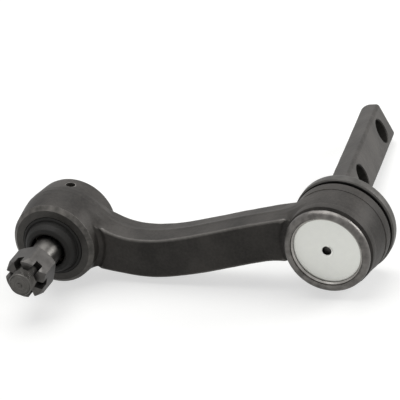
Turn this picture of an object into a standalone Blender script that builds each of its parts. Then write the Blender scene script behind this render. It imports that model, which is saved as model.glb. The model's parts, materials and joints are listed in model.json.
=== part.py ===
"""Steering idler arm with its frame bracket, lying on its side.

The assembly is laid out in its own axes and then turned and lifted as one, so that it lies on its round
bosses. In its own axes the pivot runs along Y with the cover plate's outer face at y = 0 and the frame
bracket behind it, the arm runs from the pivot at x = 0 along -X to the ball stud, and Z is up.
All sizes are in metres.
"""

import math

import bmesh
import bpy
from mathutils import Matrix, Vector

# Clearances
SEAT_GAP = 0.0003          # between faces that touch on the real part
SHAFT_GAP = 0.00008        # all round the pivot shaft in its bushes
BALL_GAP = 0.00012         # all round the ball in its seats
THREAD_GAP = 0.0001        # between a thread and its nut
SWING_GAP = 0.0006         # between the swung stud and the mouth of the eye

# Pivot, from the shaft outwards
SHAFT_RADIUS = 0.0110
PIVOT_THREAD_RADIUS = 0.0080
BUSH_WALL = 0.0038
BUSH_LENGTH = 0.0056
BUSH_COLLAR_WIDTH = 0.0036
BUSH_COLLAR_THICKNESS = 0.0014
THRUST_WASHER_THICKNESS = 0.0014
WASHER_MARGIN = 0.0010
DISC_SPRING_RISE = 0.0009
DISC_SPRING_THICKNESS = 0.0011
PIVOT_NUT_THICKNESS = 0.0041
PIVOT_NUT_FLATS = 0.0240

# Barrel of the arm, whose front lip is rolled over the cover plate
COVER_THICKNESS = 0.0016
COVER_HOLE_RADIUS = 0.0025
LIP_OVERLAP = 0.0007
LIP_HEIGHT = 0.0026
LIP_INNER_SLOPE = 0.0018
LIP_EDGE = 0.0003
LIP_ROUND = 0.0018
NECK_DEPTH = 0.0010
NECK_LENGTH = 0.0026
BARREL_WALL = 0.0047
BARREL_DRAFT = 0.0017
BAND_LENGTH = 0.0050
BAND_STEP = 0.0008
BARREL_EDGE = 0.0005

# Seal and shield flange between the barrel and the tang
SEAL_THICKNESS = 0.0011
SEAL_SET_IN = 0.0015
SEAL_WIDTH = 0.0100
FLANGE_THICKNESS = 0.0061
FLANGE_OVERHANG = 0.0009
FLANGE_EDGE = 0.0010
FLANGE_GROOVE = 0.0005

# Tang of the bracket, a flat bar that leans away from the pivot axis
TANG_WIDTH = 0.0202
TANG_THICKNESS = 0.0124
TANG_REACH = 0.1353
TANG_OFFSET = 0.0081
TANG_TURN = math.radians(21.0)
TANG_LEAN = math.radians(10.0)
TANG_SINK = 0.0035
TANG_END_SLANT = 0.0110     # by which the back face outreaches the front one
TANG_TIP_ROUND = 0.0054     # from the tip to where its rounding starts
TANG_EDGE = 0.0012
TANG_ROOT_GROWTH = 0.0044
TANG_ROOT_LENGTH = 0.0080
TANG_ROOT_EDGE = 0.0024
BOLT_HOLE_RADIUS = 0.00685
BOLT_SPACING = 0.0611
BOLT_FROM_END = 0.0183

# Arm between the two bosses
CENTRE_DISTANCE = 0.1520
ARM_THICKNESS = 0.0196
ARM_SET_IN = 0.00075
ARM_HALF_HEIGHT = 0.0109
ARM_EDGE = 0.0019
FORGING_DRAFT = 0.0011
ARM_ABOVE_PIVOT = 0.0052
ARM_ABOVE_STUD = 0.0060
VALLEY_FROM_STUD = 0.0505
VALLEY_DEPTH = 0.0105
PIVOT_HANDLE = 0.0390
VALLEY_PIVOT_HANDLE = 0.0276
VALLEY_STUD_HANDLE = 0.0270
STUD_HANDLE_ALONG = 0.0150
STUD_HANDLE_DOWN = 0.0030
ROOT_FLARE_ABOVE = 0.0004
ROOT_FLARE_BELOW = 0.0026
ROOT_FLARE_LENGTH = 0.0160

# Ball joint in the eye, from the ball outwards
BALL_RADIUS = 0.0120
BALL_FROM_PARTING = 0.00175
SWING = math.radians(15.0)
SEAT_WALL = 0.0039
SEAT_FRONT_DEPTH = 0.0102
SEAT_BACK_DEPTH = 0.0105
SEAT_FRONT_OPENING = 0.0094
SEAT_BACK_OPENING = 0.0085
SEAT_SPRING_RISE = 0.0020
SEAT_SPRING_THICKNESS = 0.0015
SOCKET_COVER_STEP = 0.00095
SOCKET_COVER_THICKNESS = 0.0018
SOCKET_LIP_THICKNESS = 0.0018
SOCKET_LIP_OVERLAP = 0.0016
EYE_WALL = 0.0052
EYE_SWELL = 0.0017
EYE_BAND_WIDTH = 0.0060
EYE_FRONT_WALL = 0.0045
EYE_FRONT_CHAMFER = 0.0020
EYE_BACK_ROUND = 0.0021
GREASE_HOLE_RADIUS = 0.0025
GREASE_HOLE_FROM_BACK = 0.0090
GREASE_HOLE_TURN = math.radians(11.0)

# Ball stud
NECK_RADIUS = 0.0069
NECK_FILLET = 0.0020
SHANK_RADIUS = 0.0080
SHANK_END_RADIUS = 0.0069
SHANK_FROM_EYE = 0.0010
SHANK_LENGTH = 0.0160
THREAD_RADIUS = 0.00635
THREAD_LENGTH = 0.0255
THREAD_RELIEF = 0.0008
THREAD_CHAMFER = 0.0010
CENTRE_DRILL_RADIUS = 0.0016

# Castle nut
NUT_FLATS = 0.0206
NUT_HEIGHT = 0.0160
NUT_FROM_SHANK = 0.0035
NUT_CHAMFER = 0.0012
NUT_COUNTERSINK = 0.0011
CROWN_HEIGHT = 0.0048
CROWN_SET_IN = 0.0003
CROWN_ROUND = 0.0007
SLOT_WIDTH = 0.0040
SLOT_DEPTH = 0.0056
SLOT_TURN = math.radians(41.0)

# Dust boot on the face of the eye
GROOVE_LAND = 0.0007
GROOVE_DEPTH = 0.0017
LAND_DROP = 0.0002
BOOT_WALL = 0.0017
BOOT_HEIGHT = 0.0067
BOOT_SIDE = 0.0012
BOOT_MOUTH_RADIUS = 0.0092
BOOT_RING_WIDTH = 0.0006

# Facets
LARGE_ROUND = 48
SMALL_ROUND = 36
BALL_STEPS = 10
ARM_STEPS = 12
SLOT_BARS = 3
BOOT_STEPS = 5
HOLE_ROUND = 32
EDGE_STEPS = 2
NOSE_STEPS = 5
EDGE_ANGLE = math.radians(35)
LYING_ROUNDS = 8
WELD_REACH = 0.000002

# The middle of a quarter round lies this share of its radius in from both faces.
MIDWAY = 1 - math.sqrt(0.5)

# Places along Y and radii that follow from the sizes above
NUT_FRONT = COVER_THICKNESS + SEAT_GAP
NUT_BACK = NUT_FRONT + PIVOT_NUT_THICKNESS
SPRING_FRONT = NUT_BACK + SEAT_GAP
SPRING_BACK = SPRING_FRONT + DISC_SPRING_RISE + DISC_SPRING_THICKNESS
WASHER_FRONT = SPRING_BACK + SEAT_GAP
WASHER_BACK = WASHER_FRONT + THRUST_WASHER_THICKNESS
COLLAR_FRONT = WASHER_BACK + SEAT_GAP
CHAMBER_BACK = COLLAR_FRONT + BUSH_COLLAR_THICKNESS + SEAT_GAP
INNER_BUSH_BACK = CHAMBER_BACK + BUSH_LENGTH
OUTER_BUSH_FRONT = INNER_BUSH_BACK + SEAT_GAP
OUTER_BUSH_BACK = OUTER_BUSH_FRONT + BUSH_LENGTH
BARREL_BACK = OUTER_BUSH_BACK + SEAT_GAP
SEAL_FRONT = BARREL_BACK + SEAT_GAP
SEAL_BACK = SEAL_FRONT + SEAL_THICKNESS
FLANGE_FRONT = SEAL_BACK + SEAT_GAP
FLANGE_BACK = FLANGE_FRONT + FLANGE_THICKNESS

BUSH_INNER_RADIUS = SHAFT_RADIUS + SHAFT_GAP
BUSH_OUTER_RADIUS = BUSH_INNER_RADIUS + BUSH_WALL
BUSH_BORE_RADIUS = BUSH_OUTER_RADIUS + SEAT_GAP
COLLAR_RADIUS = BUSH_OUTER_RADIUS + BUSH_COLLAR_WIDTH
CHAMBER_RADIUS = COLLAR_RADIUS + SEAT_GAP
COVER_RADIUS = CHAMBER_RADIUS - SEAT_GAP / 2
COVER_SHOWING_RADIUS = COVER_RADIUS - LIP_OVERLAP
WASHER_RADIUS = COLLAR_RADIUS - WASHER_MARGIN
PIVOT_THREAD_HOLE = PIVOT_THREAD_RADIUS + THREAD_GAP
BARREL_FRONT_RADIUS = CHAMBER_RADIUS + BARREL_WALL
BARREL_BACK_RADIUS = BARREL_FRONT_RADIUS + BARREL_DRAFT
LIP_OUTER_RADIUS = BARREL_FRONT_RADIUS - NECK_DEPTH / 2
BAND_RADIUS = BARREL_BACK_RADIUS + BAND_STEP
FLANGE_RADIUS = BAND_RADIUS + FLANGE_OVERHANG
SEAL_RADIUS = BAND_RADIUS - SEAL_SET_IN

PARTING_Y = BARREL_BACK - ARM_SET_IN - ARM_THICKNESS / 2
EYE_X = -CENTRE_DISTANCE
BALL_Y = PARTING_Y - BALL_FROM_PARTING
SEAT_INNER_RADIUS = BALL_RADIUS + BALL_GAP
SEAT_OUTER_RADIUS = SEAT_INNER_RADIUS + SEAT_WALL
SEAT_FRONT = BALL_Y - SEAT_FRONT_DEPTH
SEAT_BACK = BALL_Y + SEAT_BACK_DEPTH
EYE_BORE_RADIUS = SEAT_OUTER_RADIUS + SEAT_GAP
EYE_BORE_FRONT = SEAT_FRONT - SEAT_GAP
EYE_FRONT = EYE_BORE_FRONT - EYE_FRONT_WALL
SEAT_SPRING_FRONT = SEAT_BACK + SEAT_GAP
SEAT_SPRING_BACK = SEAT_SPRING_FRONT + SEAT_SPRING_RISE + SEAT_SPRING_THICKNESS
SOCKET_COVER_FRONT = SEAT_SPRING_BACK + SEAT_GAP
SOCKET_COVER_BACK = SOCKET_COVER_FRONT + SOCKET_COVER_THICKNESS
SOCKET_SEAT_RADIUS = EYE_BORE_RADIUS + SOCKET_COVER_STEP
SOCKET_COVER_RADIUS = SOCKET_SEAT_RADIUS - SEAT_GAP / 2
EYE_RADIUS = SOCKET_SEAT_RADIUS + EYE_WALL
EYE_BAND_RADIUS = EYE_RADIUS + EYE_SWELL
EYE_BACK = SOCKET_COVER_BACK + SEAT_GAP + SOCKET_LIP_THICKNESS

SHANK_FRONT = EYE_FRONT - SHANK_FROM_EYE
SHANK_END = SHANK_FRONT - SHANK_LENGTH
STUD_END = SHANK_END - THREAD_LENGTH
NUT_BASE = SHANK_END - NUT_FROM_SHANK
NUT_CROWN = NUT_BASE - NUT_HEIGHT


def mouth_radius(y):
    """Radius that the stud needs at this depth when it swings to its limit."""
    return (BALL_Y - y) * math.tan(SWING) + SHANK_RADIUS / math.cos(SWING) + SWING_GAP


GROOVE_INNER = mouth_radius(EYE_FRONT) + GROOVE_LAND
BOOT_RING_OUTER = GROOVE_INNER + SEAT_GAP + BOOT_RING_WIDTH
FOOT_INNER = BOOT_RING_OUTER + SEAT_GAP / 2
FOOT_OUTER = FOOT_INNER + BOOT_WALL
GROOVE_OUTER = FOOT_OUTER + SEAT_GAP


def new_collection(name):
    made = bpy.data.collections.new(name)
    bpy.context.scene.collection.children.link(made)
    return made


def new_material(name, colour, roughness, metallic):
    made = bpy.data.materials.new(name)
    made.use_nodes = True
    shader = made.node_tree.nodes["Principled BSDF"]
    shader.inputs["Base Color"].default_value = (*colour, 1.0)
    shader.inputs["Roughness"].default_value = roughness
    shader.inputs["Metallic"].default_value = metallic
    return made


def new_empty(name, location, parent=None):
    made = bpy.data.objects.new(name, None)
    made.location = location
    made.parent = parent
    parts.objects.link(made)
    return made


def new_mesh_object(name, bm, into):
    """An object made from bm, which is freed."""
    mesh = bpy.data.meshes.new(name)
    bm.to_mesh(mesh)
    bm.free()
    made = bpy.data.objects.new(name, mesh)
    into.objects.link(made)
    return made


def as_cutter(obj):
    obj.hide_render = True
    obj.display_type = "WIRE"
    return obj


def turned(name, profile, steps=SMALL_ROUND, into=None):
    """A turned solid. The profile's (radius, y) points run down its outer side, from the back to the front.

    A profile that starts and ends on the axis is a solid, and any other is closed into a ring. The object's
    own Z runs along Y of the assembly.
    """
    bm = bmesh.new()
    points = [bm.verts.new((radius, 0.0, y)) for radius, y in profile]
    for first, second in zip(points, points[1:]):
        bm.edges.new((first, second))
    if profile[0][0] > 0:
        bm.edges.new((points[-1], points[0]))
    made = new_mesh_object(name, bm, into or parts)
    made.rotation_euler.x = -math.pi / 2
    screw = made.modifiers.new("turned", "SCREW")
    screw.axis = "Z"
    screw.angle = 2 * math.pi
    screw.steps = steps
    screw.render_steps = steps
    screw.use_merge_vertices = True
    screw.merge_threshold = 0.00001
    screw.use_smooth_shade = True
    return made


def join(obj, other, operation):
    """Adds a Boolean to obj with other, which is kept out of the render, and closes the hairs it leaves."""
    cut = obj.modifiers.new(other.name, "BOOLEAN")
    cut.operation = operation
    cut.solver = "EXACT"
    cut.object = as_cutter(other)
    weld = obj.modifiers.new("weld after " + other.name, "WELD")
    weld.merge_threshold = WELD_REACH


def round_edges(obj, width):
    bevel = obj.modifiers.new("rounded edges", "BEVEL")
    bevel.width = width
    bevel.segments = EDGE_STEPS
    bevel.limit_method = "ANGLE"
    bevel.angle_limit = EDGE_ANGLE


def cylinder(name, radius, depth, sides, into):
    bpy.ops.mesh.primitive_cylinder_add(vertices=sides, radius=radius, depth=depth)
    made = bpy.context.object
    made.name = name
    for collection in list(made.users_collection):
        collection.objects.unlink(made)
    into.objects.link(made)
    return made


def box(name, low, high, into):
    """A box between two corners, in its own axes."""
    low, high = Vector(low), Vector(high)
    bm = bmesh.new()
    bmesh.ops.create_cube(bm, size=1.0)
    size = high - low
    bmesh.ops.scale(bm, vec=size, verts=bm.verts)
    bmesh.ops.translate(bm, vec=(low + high) / 2, verts=bm.verts)
    return new_mesh_object(name, bm, into)


def fit(obj, parent, material, x=0.0, y=0.0):
    """Gives a finished piece its material and its place on a parent that stands at (x, y)."""
    obj.parent = parent
    obj.location.x -= x
    obj.location.y -= y
    obj.data.materials.append(material)
    return obj


def ball_arc(radius, start, end, steps):
    """(radius, y) points round the ball's centre. Angles are from +Y, in radians."""
    points = []
    for step in range(steps + 1):
        angle = start + (end - start) * step / steps
        points.append((radius * math.sin(angle), BALL_Y + radius * math.cos(angle)))
    return points


def ring_profile(inner, outer, front, back):
    return [(outer, back), (outer, front), (inner, front), (inner, back)]


def cone_ring_profile(inner, outer, front, rise, thickness):
    """A coned washer whose inner edge stands nearer the front."""
    return [
        (outer, front + rise + thickness),
        (outer, front + rise),
        (inner, front),
        (inner, front + thickness),
    ]


# Arm


def bezier(ends, handles, share):
    """A point and its direction on one cubic span in the XZ plane."""
    a, d = Vector(ends[0]), Vector(ends[1])
    b, c = Vector(handles[0]), Vector(handles[1])
    rest = 1 - share
    point = a * rest**3 + b * 3 * rest**2 * share + c * 3 * rest * share**2 + d * share**3
    along = (b - a) * rest**2 + (c - b) * 2 * rest * share + (d - c) * share**2
    return point, along.normalized()


def arm_stations():
    """Centre, direction across and reach above and below of the arm's sections, from pivot to stud."""
    pivot = (0.0, ARM_ABOVE_PIVOT)
    valley = (EYE_X + VALLEY_FROM_STUD, -VALLEY_DEPTH)
    stud = (EYE_X, ARM_ABOVE_STUD)
    spans = [
        (
            (pivot, valley),
            ((pivot[0] - PIVOT_HANDLE, pivot[1]), (valley[0] + VALLEY_PIVOT_HANDLE, valley[1])),
        ),
        (
            (valley, stud),
            (
                (valley[0] - VALLEY_STUD_HANDLE, valley[1]),
                (stud[0] + STUD_HANDLE_ALONG, stud[1] - STUD_HANDLE_DOWN),
            ),
        ),
    ]
    stations = []
    for number, (ends, handles) in enumerate(spans):
        for step in range(number, ARM_STEPS + 1):
            point, along = bezier(ends, handles, step / ARM_STEPS)
            across = Vector((along.y, -along.x))
            clear = min(
                point.length - BARREL_FRONT_RADIUS,
                (point - Vector((EYE_X, 0.0))).length - EYE_RADIUS,
            )
            near = min(1.0, max(0.0, 1 - clear / ROOT_FLARE_LENGTH)) ** 2
            above = ARM_HALF_HEIGHT + ROOT_FLARE_ABOVE * near
            below = ARM_HALF_HEIGHT + ROOT_FLARE_BELOW * near
            stations.append((point, across, above, below))
    return stations


def arm_bar():
    """The S-curved bar: one six-sided section, widest on the forging's parting line, lofted to its stations."""
    section = [(-1, 1, 0), (0, 1, 1), (1, 1, 0), (1, -1, 0), (0, -1, 1), (-1, -1, 0)]
    bm = bmesh.new()
    rings = []
    for point, across, above, below in arm_stations():
        ring = []
        for side, up, widest in section:
            half = above if up > 0 else below
            offset = across * up * (half + widest * FORGING_DRAFT)
            y = PARTING_Y + side * ARM_THICKNESS / 2
            ring.append(bm.verts.new((point.x + offset.x, y, point.y + offset.y)))
        rings.append(ring)
    for first, second in zip(rings, rings[1:]):
        for i in range(len(section)):
            j = (i + 1) % len(section)
            bm.faces.new((first[i], first[j], second[j], second[i]))
    bm.faces.new(rings[0])
    bm.faces.new(reversed(rings[-1]))
    bmesh.ops.recalc_face_normals(bm, faces=bm.faces)
    made = new_mesh_object("arm_bar", bm, cutters)
    round_edges(made, ARM_EDGE)
    return made


def barrel_outside():
    neck_back = -LIP_HEIGHT + LIP_ROUND + NECK_LENGTH
    band_front = BARREL_BACK - BAND_LENGTH
    return [
        (0.0, BARREL_BACK),
        (BAND_RADIUS - BARREL_EDGE, BARREL_BACK),
        (BAND_RADIUS, BARREL_BACK - BARREL_EDGE),
        (BAND_RADIUS, band_front),
        (BARREL_BACK_RADIUS, band_front - BAND_STEP),
        (BARREL_FRONT_RADIUS, neck_back + NECK_DEPTH),
        (BARREL_FRONT_RADIUS - NECK_DEPTH, neck_back),
        (BARREL_FRONT_RADIUS - NECK_DEPTH, -LIP_HEIGHT + LIP_ROUND + NECK_DEPTH / 2),
        (LIP_OUTER_RADIUS, -LIP_HEIGHT + LIP_ROUND),
        (LIP_OUTER_RADIUS - LIP_ROUND * MIDWAY, -LIP_HEIGHT + LIP_ROUND * MIDWAY),
        (LIP_OUTER_RADIUS - LIP_ROUND, -LIP_HEIGHT),
        (0.0, -LIP_HEIGHT),
    ]


def barrel_inside():
    beyond = SEAT_GAP
    return [
        (0.0, BARREL_BACK + beyond),
        (BUSH_BORE_RADIUS, BARREL_BACK + beyond),
        (BUSH_BORE_RADIUS, CHAMBER_BACK),
        (CHAMBER_RADIUS, CHAMBER_BACK),
        (CHAMBER_RADIUS, -SEAT_GAP),
        (COVER_SHOWING_RADIUS, -SEAT_GAP),
        (COVER_SHOWING_RADIUS, -SEAT_GAP - LIP_EDGE),
        (COVER_SHOWING_RADIUS + LIP_INNER_SLOPE, -LIP_HEIGHT - beyond),
        (0.0, -LIP_HEIGHT - beyond),
    ]


def eye_outside():
    rounded = EYE_BACK_ROUND
    return [
        (0.0, EYE_BACK),
        (EYE_RADIUS - rounded, EYE_BACK),
        (EYE_RADIUS - rounded * MIDWAY, EYE_BACK - rounded * MIDWAY),
        (EYE_RADIUS, EYE_BACK - rounded),
        (EYE_BAND_RADIUS, PARTING_Y + EYE_BAND_WIDTH / 2),
        (EYE_BAND_RADIUS, PARTING_Y - EYE_BAND_WIDTH / 2),
        (EYE_RADIUS, EYE_FRONT + EYE_FRONT_CHAMFER),
        (EYE_RADIUS - EYE_FRONT_CHAMFER, EYE_FRONT),
        (0.0, EYE_FRONT),
    ]


def eye_inside():
    """The ball's bore, its mouth and the groove round the mouth, with a low land between them."""
    beyond = SEAT_GAP
    land = EYE_FRONT + LAND_DROP
    return [
        (0.0, EYE_BACK + beyond),
        (SOCKET_COVER_RADIUS - SOCKET_LIP_OVERLAP, EYE_BACK + beyond),
        (SOCKET_COVER_RADIUS - SOCKET_LIP_OVERLAP, SOCKET_COVER_BACK + SEAT_GAP),
        (SOCKET_SEAT_RADIUS, SOCKET_COVER_BACK + SEAT_GAP),
        (SOCKET_SEAT_RADIUS, SOCKET_COVER_FRONT - SEAT_GAP),
        (EYE_BORE_RADIUS, SOCKET_COVER_FRONT - SEAT_GAP),
        (EYE_BORE_RADIUS, EYE_BORE_FRONT),
        (mouth_radius(EYE_BORE_FRONT), EYE_BORE_FRONT),
        (mouth_radius(land), land),
        (GROOVE_INNER, land),
        (GROOVE_INNER, EYE_FRONT + GROOVE_DEPTH),
        (GROOVE_OUTER, EYE_FRONT + GROOVE_DEPTH),
        (GROOVE_OUTER, EYE_FRONT - beyond),
        (0.0, EYE_FRONT - beyond),
    ]


def idler_arm():
    """One forging: the pivot barrel, the bar and the eye, bored from both ends."""
    arm = turned("idler_arm", barrel_outside(), LARGE_ROUND)
    eye = turned("eye_outside", eye_outside(), LARGE_ROUND, cutters)
    eye_bore = turned("eye_bore", eye_inside(), LARGE_ROUND, cutters)
    eye.location.x = EYE_X
    eye_bore.location.x = EYE_X
    inward = EYE_BORE_RADIUS - 2 * SEAT_GAP
    outward = EYE_BAND_RADIUS + GREASE_HOLE_RADIUS
    grease_hole = cylinder("grease_hole", GREASE_HOLE_RADIUS, outward - inward, HOLE_ROUND, cutters)
    direction = Vector((math.sin(GREASE_HOLE_TURN), 0.0, math.cos(GREASE_HOLE_TURN)))
    grease_hole.rotation_euler.y = GREASE_HOLE_TURN
    grease_hole.location = direction * (inward + outward) / 2
    grease_hole.location += Vector((EYE_X, EYE_BACK - GREASE_HOLE_FROM_BACK, 0.0))
    join(arm, arm_bar(), "UNION")
    join(arm, eye, "UNION")
    join(arm, turned("barrel_bore", barrel_inside(), LARGE_ROUND, cutters), "DIFFERENCE")
    join(arm, eye_bore, "DIFFERENCE")
    join(arm, grease_hole, "DIFFERENCE")
    return arm


# Frame bracket


def tang_axes():
    """The tang's own axes: X across its width, Y along it from the flange's back, Z out of its broad face."""
    outward = Vector((math.cos(TANG_TURN), 0.0, math.sin(TANG_TURN)))
    pivot_axis = Vector((0.0, 1.0, 0.0))
    along = pivot_axis * math.cos(TANG_LEAN) - outward * math.sin(TANG_LEAN)
    facing = outward * math.cos(TANG_LEAN) + pivot_axis * math.sin(TANG_LEAN)
    width = along.cross(facing)
    foot = pivot_axis * FLANGE_BACK - outward * TANG_OFFSET
    axes = Matrix((width, along, facing)).transposed().to_4x4()
    axes.translation = foot
    return axes


def tang_bar():
    """The bar, its far end slanted through its thickness and its tip rounded."""
    half_width, half_thickness = TANG_WIDTH / 2, TANG_THICKNESS / 2
    bar = box(
        "tang_bar",
        (-half_width, -TANG_SINK, -half_thickness),
        (half_width, TANG_REACH, half_thickness),
        cutters,
    )
    bm = bmesh.new()
    bm.from_mesh(bar.data)
    for vertex in bm.verts:
        if vertex.co.y > 0 and vertex.co.z < 0:
            vertex.co.y += TANG_END_SLANT
    beyond = TANG_REACH + TANG_END_SLANT / 2
    tip = [edge for edge in bm.edges if all(v.co.y > beyond for v in edge.verts)]
    bmesh.ops.bevel(
        bm, geom=tip, offset=TANG_TIP_ROUND, segments=NOSE_STEPS, profile=0.5, affect="EDGES"
    )
    bm.to_mesh(bar.data)
    bm.free()
    round_edges(bar, TANG_EDGE)
    bar.matrix_world = tang_axes()
    return bar


def tang_root():
    """The tapered swelling where the bar grows out of the flange."""
    half_width, half_thickness = TANG_WIDTH / 2, TANG_THICKNESS / 2
    root = box(
        "tang_root",
        (-half_width, SEAT_GAP - TANG_SINK, -half_thickness),
        (half_width, TANG_ROOT_LENGTH, half_thickness),
        cutters,
    )
    for vertex in root.data.vertices:
        growth = TANG_ROOT_GROWTH if vertex.co.y < 0 else SEAT_GAP / 2
        vertex.co.x += math.copysign(growth, vertex.co.x)
        vertex.co.z += math.copysign(growth, vertex.co.z)
    round_edges(root, TANG_ROOT_EDGE)
    root.matrix_world = tang_axes()
    return root


def frame_bracket():
    """One forging: pivot shaft, shield flange and tang."""
    shoulder = COLLAR_FRONT + SEAT_GAP
    shaft_end = NUT_FRONT + SEAT_GAP
    middle = (FLANGE_FRONT + FLANGE_BACK) / 2
    profile = [
        (0.0, FLANGE_BACK),
        (FLANGE_RADIUS - FLANGE_EDGE, FLANGE_BACK),
        (FLANGE_RADIUS, FLANGE_BACK - FLANGE_EDGE),
        (FLANGE_RADIUS, middle + FLANGE_GROOVE),
        (FLANGE_RADIUS - FLANGE_GROOVE, middle),
        (FLANGE_RADIUS, middle - FLANGE_GROOVE),
        (FLANGE_RADIUS, FLANGE_FRONT + FLANGE_GROOVE),
        (FLANGE_RADIUS - FLANGE_GROOVE, FLANGE_FRONT),
        (SHAFT_RADIUS, FLANGE_FRONT),
        (SHAFT_RADIUS, shoulder),
        (PIVOT_THREAD_RADIUS, shoulder),
        (PIVOT_THREAD_RADIUS, shaft_end + THREAD_CHAMFER),
        (PIVOT_THREAD_RADIUS - THREAD_CHAMFER, shaft_end),
        (0.0, shaft_end),
    ]
    bracket = turned("frame_bracket", profile, LARGE_ROUND)
    join(bracket, tang_root(), "UNION")
    join(bracket, tang_bar(), "UNION")
    outer = TANG_REACH - BOLT_FROM_END
    for number, along in enumerate((outer, outer - BOLT_SPACING)):
        name = f"bolt_hole_{number + 1}"
        hole = cylinder(name, BOLT_HOLE_RADIUS, TANG_THICKNESS * 2, HOLE_ROUND, cutters)
        hole.matrix_world = tang_axes() @ Matrix.Translation((0.0, along, 0.0))
        join(bracket, hole, "DIFFERENCE")
    return bracket


# Pieces on the pivot


def pivot_pieces():
    """Bushes, seal and cover ride with the arm. Washer, disc spring and nut ride with the bracket's shaft."""
    inner_bush = [
        (BUSH_OUTER_RADIUS, INNER_BUSH_BACK),
        (BUSH_OUTER_RADIUS, COLLAR_FRONT + BUSH_COLLAR_THICKNESS),
        (COLLAR_RADIUS, COLLAR_FRONT + BUSH_COLLAR_THICKNESS),
        (COLLAR_RADIUS, COLLAR_FRONT),
        (BUSH_INNER_RADIUS, COLLAR_FRONT),
        (BUSH_INNER_RADIUS, INNER_BUSH_BACK),
    ]
    outer_bush = ring_profile(BUSH_INNER_RADIUS, BUSH_OUTER_RADIUS, OUTER_BUSH_FRONT, OUTER_BUSH_BACK)
    seal = ring_profile(SEAL_RADIUS - SEAL_WIDTH, SEAL_RADIUS, SEAL_FRONT, SEAL_BACK)
    cover = ring_profile(COVER_HOLE_RADIUS, COVER_RADIUS, 0.0, COVER_THICKNESS)
    washer = ring_profile(PIVOT_THREAD_HOLE, WASHER_RADIUS, WASHER_FRONT, WASHER_BACK)
    spring = cone_ring_profile(
        PIVOT_THREAD_HOLE, WASHER_RADIUS, SPRING_FRONT, DISC_SPRING_RISE, DISC_SPRING_THICKNESS
    )
    fit(turned("pivot_bushing_inner", inner_bush, LARGE_ROUND), bench, bronze)
    fit(turned("pivot_bushing_outer", outer_bush, LARGE_ROUND), bench, bronze)
    fit(turned("pivot_dust_seal", seal, LARGE_ROUND), bench, rubber)
    fit(turned("barrel_cover_plate", cover, LARGE_ROUND), bench, plated_steel)
    fit(turned("thrust_washer", washer), pivot, spring_steel)
    fit(turned("pivot_disc_spring", spring), pivot, spring_steel)
    nut = cylinder(
        "pivot_retaining_nut", PIVOT_NUT_FLATS / 2 / math.cos(math.pi / 6), PIVOT_NUT_THICKNESS, 6, parts
    )
    nut.rotation_euler.x = -math.pi / 2
    nut.location.y = (NUT_FRONT + NUT_BACK) / 2
    bore = cylinder("pivot_nut_bore", PIVOT_THREAD_HOLE, PIVOT_NUT_THICKNESS * 2, SMALL_ROUND, cutters)
    bore.matrix_world = nut.matrix_basis
    join(nut, bore, "DIFFERENCE")
    fit(nut, pivot, plated_steel)


# Pieces of the ball joint


def seat_pieces():
    """The ball's two seats, the coned washer that presses them and the plate that closes the eye."""
    split = math.asin(min(1.0, SEAT_GAP / 2 / SEAT_INNER_RADIUS))
    front_end = math.pi - math.asin(SEAT_FRONT_OPENING / SEAT_INNER_RADIUS)
    back_end = math.asin(SEAT_BACK_OPENING / SEAT_INNER_RADIUS)
    front = [(SEAT_OUTER_RADIUS, BALL_Y - SEAT_GAP / 2), (SEAT_OUTER_RADIUS, SEAT_FRONT)]
    front += [(mouth_radius(SEAT_FRONT), SEAT_FRONT)]
    front += ball_arc(SEAT_INNER_RADIUS, front_end, math.pi / 2 + split, BALL_STEPS // 2)
    back = [(SEAT_OUTER_RADIUS, SEAT_BACK), (SEAT_OUTER_RADIUS, BALL_Y + SEAT_GAP / 2)]
    back += ball_arc(SEAT_INNER_RADIUS, math.pi / 2 - split, back_end, BALL_STEPS // 2)
    back += [(SEAT_BACK_OPENING, SEAT_BACK)]
    spring = cone_ring_profile(
        SEAT_BACK_OPENING, SEAT_OUTER_RADIUS, SEAT_SPRING_FRONT, SEAT_SPRING_RISE, SEAT_SPRING_THICKNESS
    )
    cover = [
        (0.0, SOCKET_COVER_BACK),
        (SOCKET_COVER_RADIUS, SOCKET_COVER_BACK),
        (SOCKET_COVER_RADIUS, SOCKET_COVER_FRONT),
        (0.0, SOCKET_COVER_FRONT),
    ]
    for name, profile, material in (
        ("ball_seat_front", front, nylon),
        ("ball_seat_back", back, nylon),
        ("seat_spring", spring, spring_steel),
        ("socket_cover_plate", cover, plated_steel),
    ):
        piece = fit(turned(name, profile), bench, material)
        piece.location.x = EYE_X


def ball_stud():
    """One forging: ball, neck, tapered shank and thread."""
    neck_angle = math.pi - math.asin(NECK_RADIUS / BALL_RADIUS)
    profile = ball_arc(BALL_RADIUS, 0.0, neck_angle, BALL_STEPS + 2)
    profile[0] = (0.0, BALL_Y + BALL_RADIUS)
    profile += [
        (NECK_RADIUS, SHANK_FRONT + 2 * NECK_FILLET),
        (SHANK_RADIUS, SHANK_FRONT + NECK_FILLET / 2),
        (SHANK_RADIUS, SHANK_FRONT),
        (SHANK_END_RADIUS, SHANK_END),
        (THREAD_RADIUS - THREAD_RELIEF, SHANK_END - THREAD_RELIEF / 2),
        (THREAD_RADIUS, NUT_BASE - THREAD_RELIEF / 2),
        (THREAD_RADIUS, STUD_END + THREAD_CHAMFER),
        (THREAD_RADIUS - THREAD_CHAMFER, STUD_END),
        (CENTRE_DRILL_RADIUS, STUD_END),
        (0.0, STUD_END + CENTRE_DRILL_RADIUS),
    ]
    return turned("ball_stud", profile)


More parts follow.
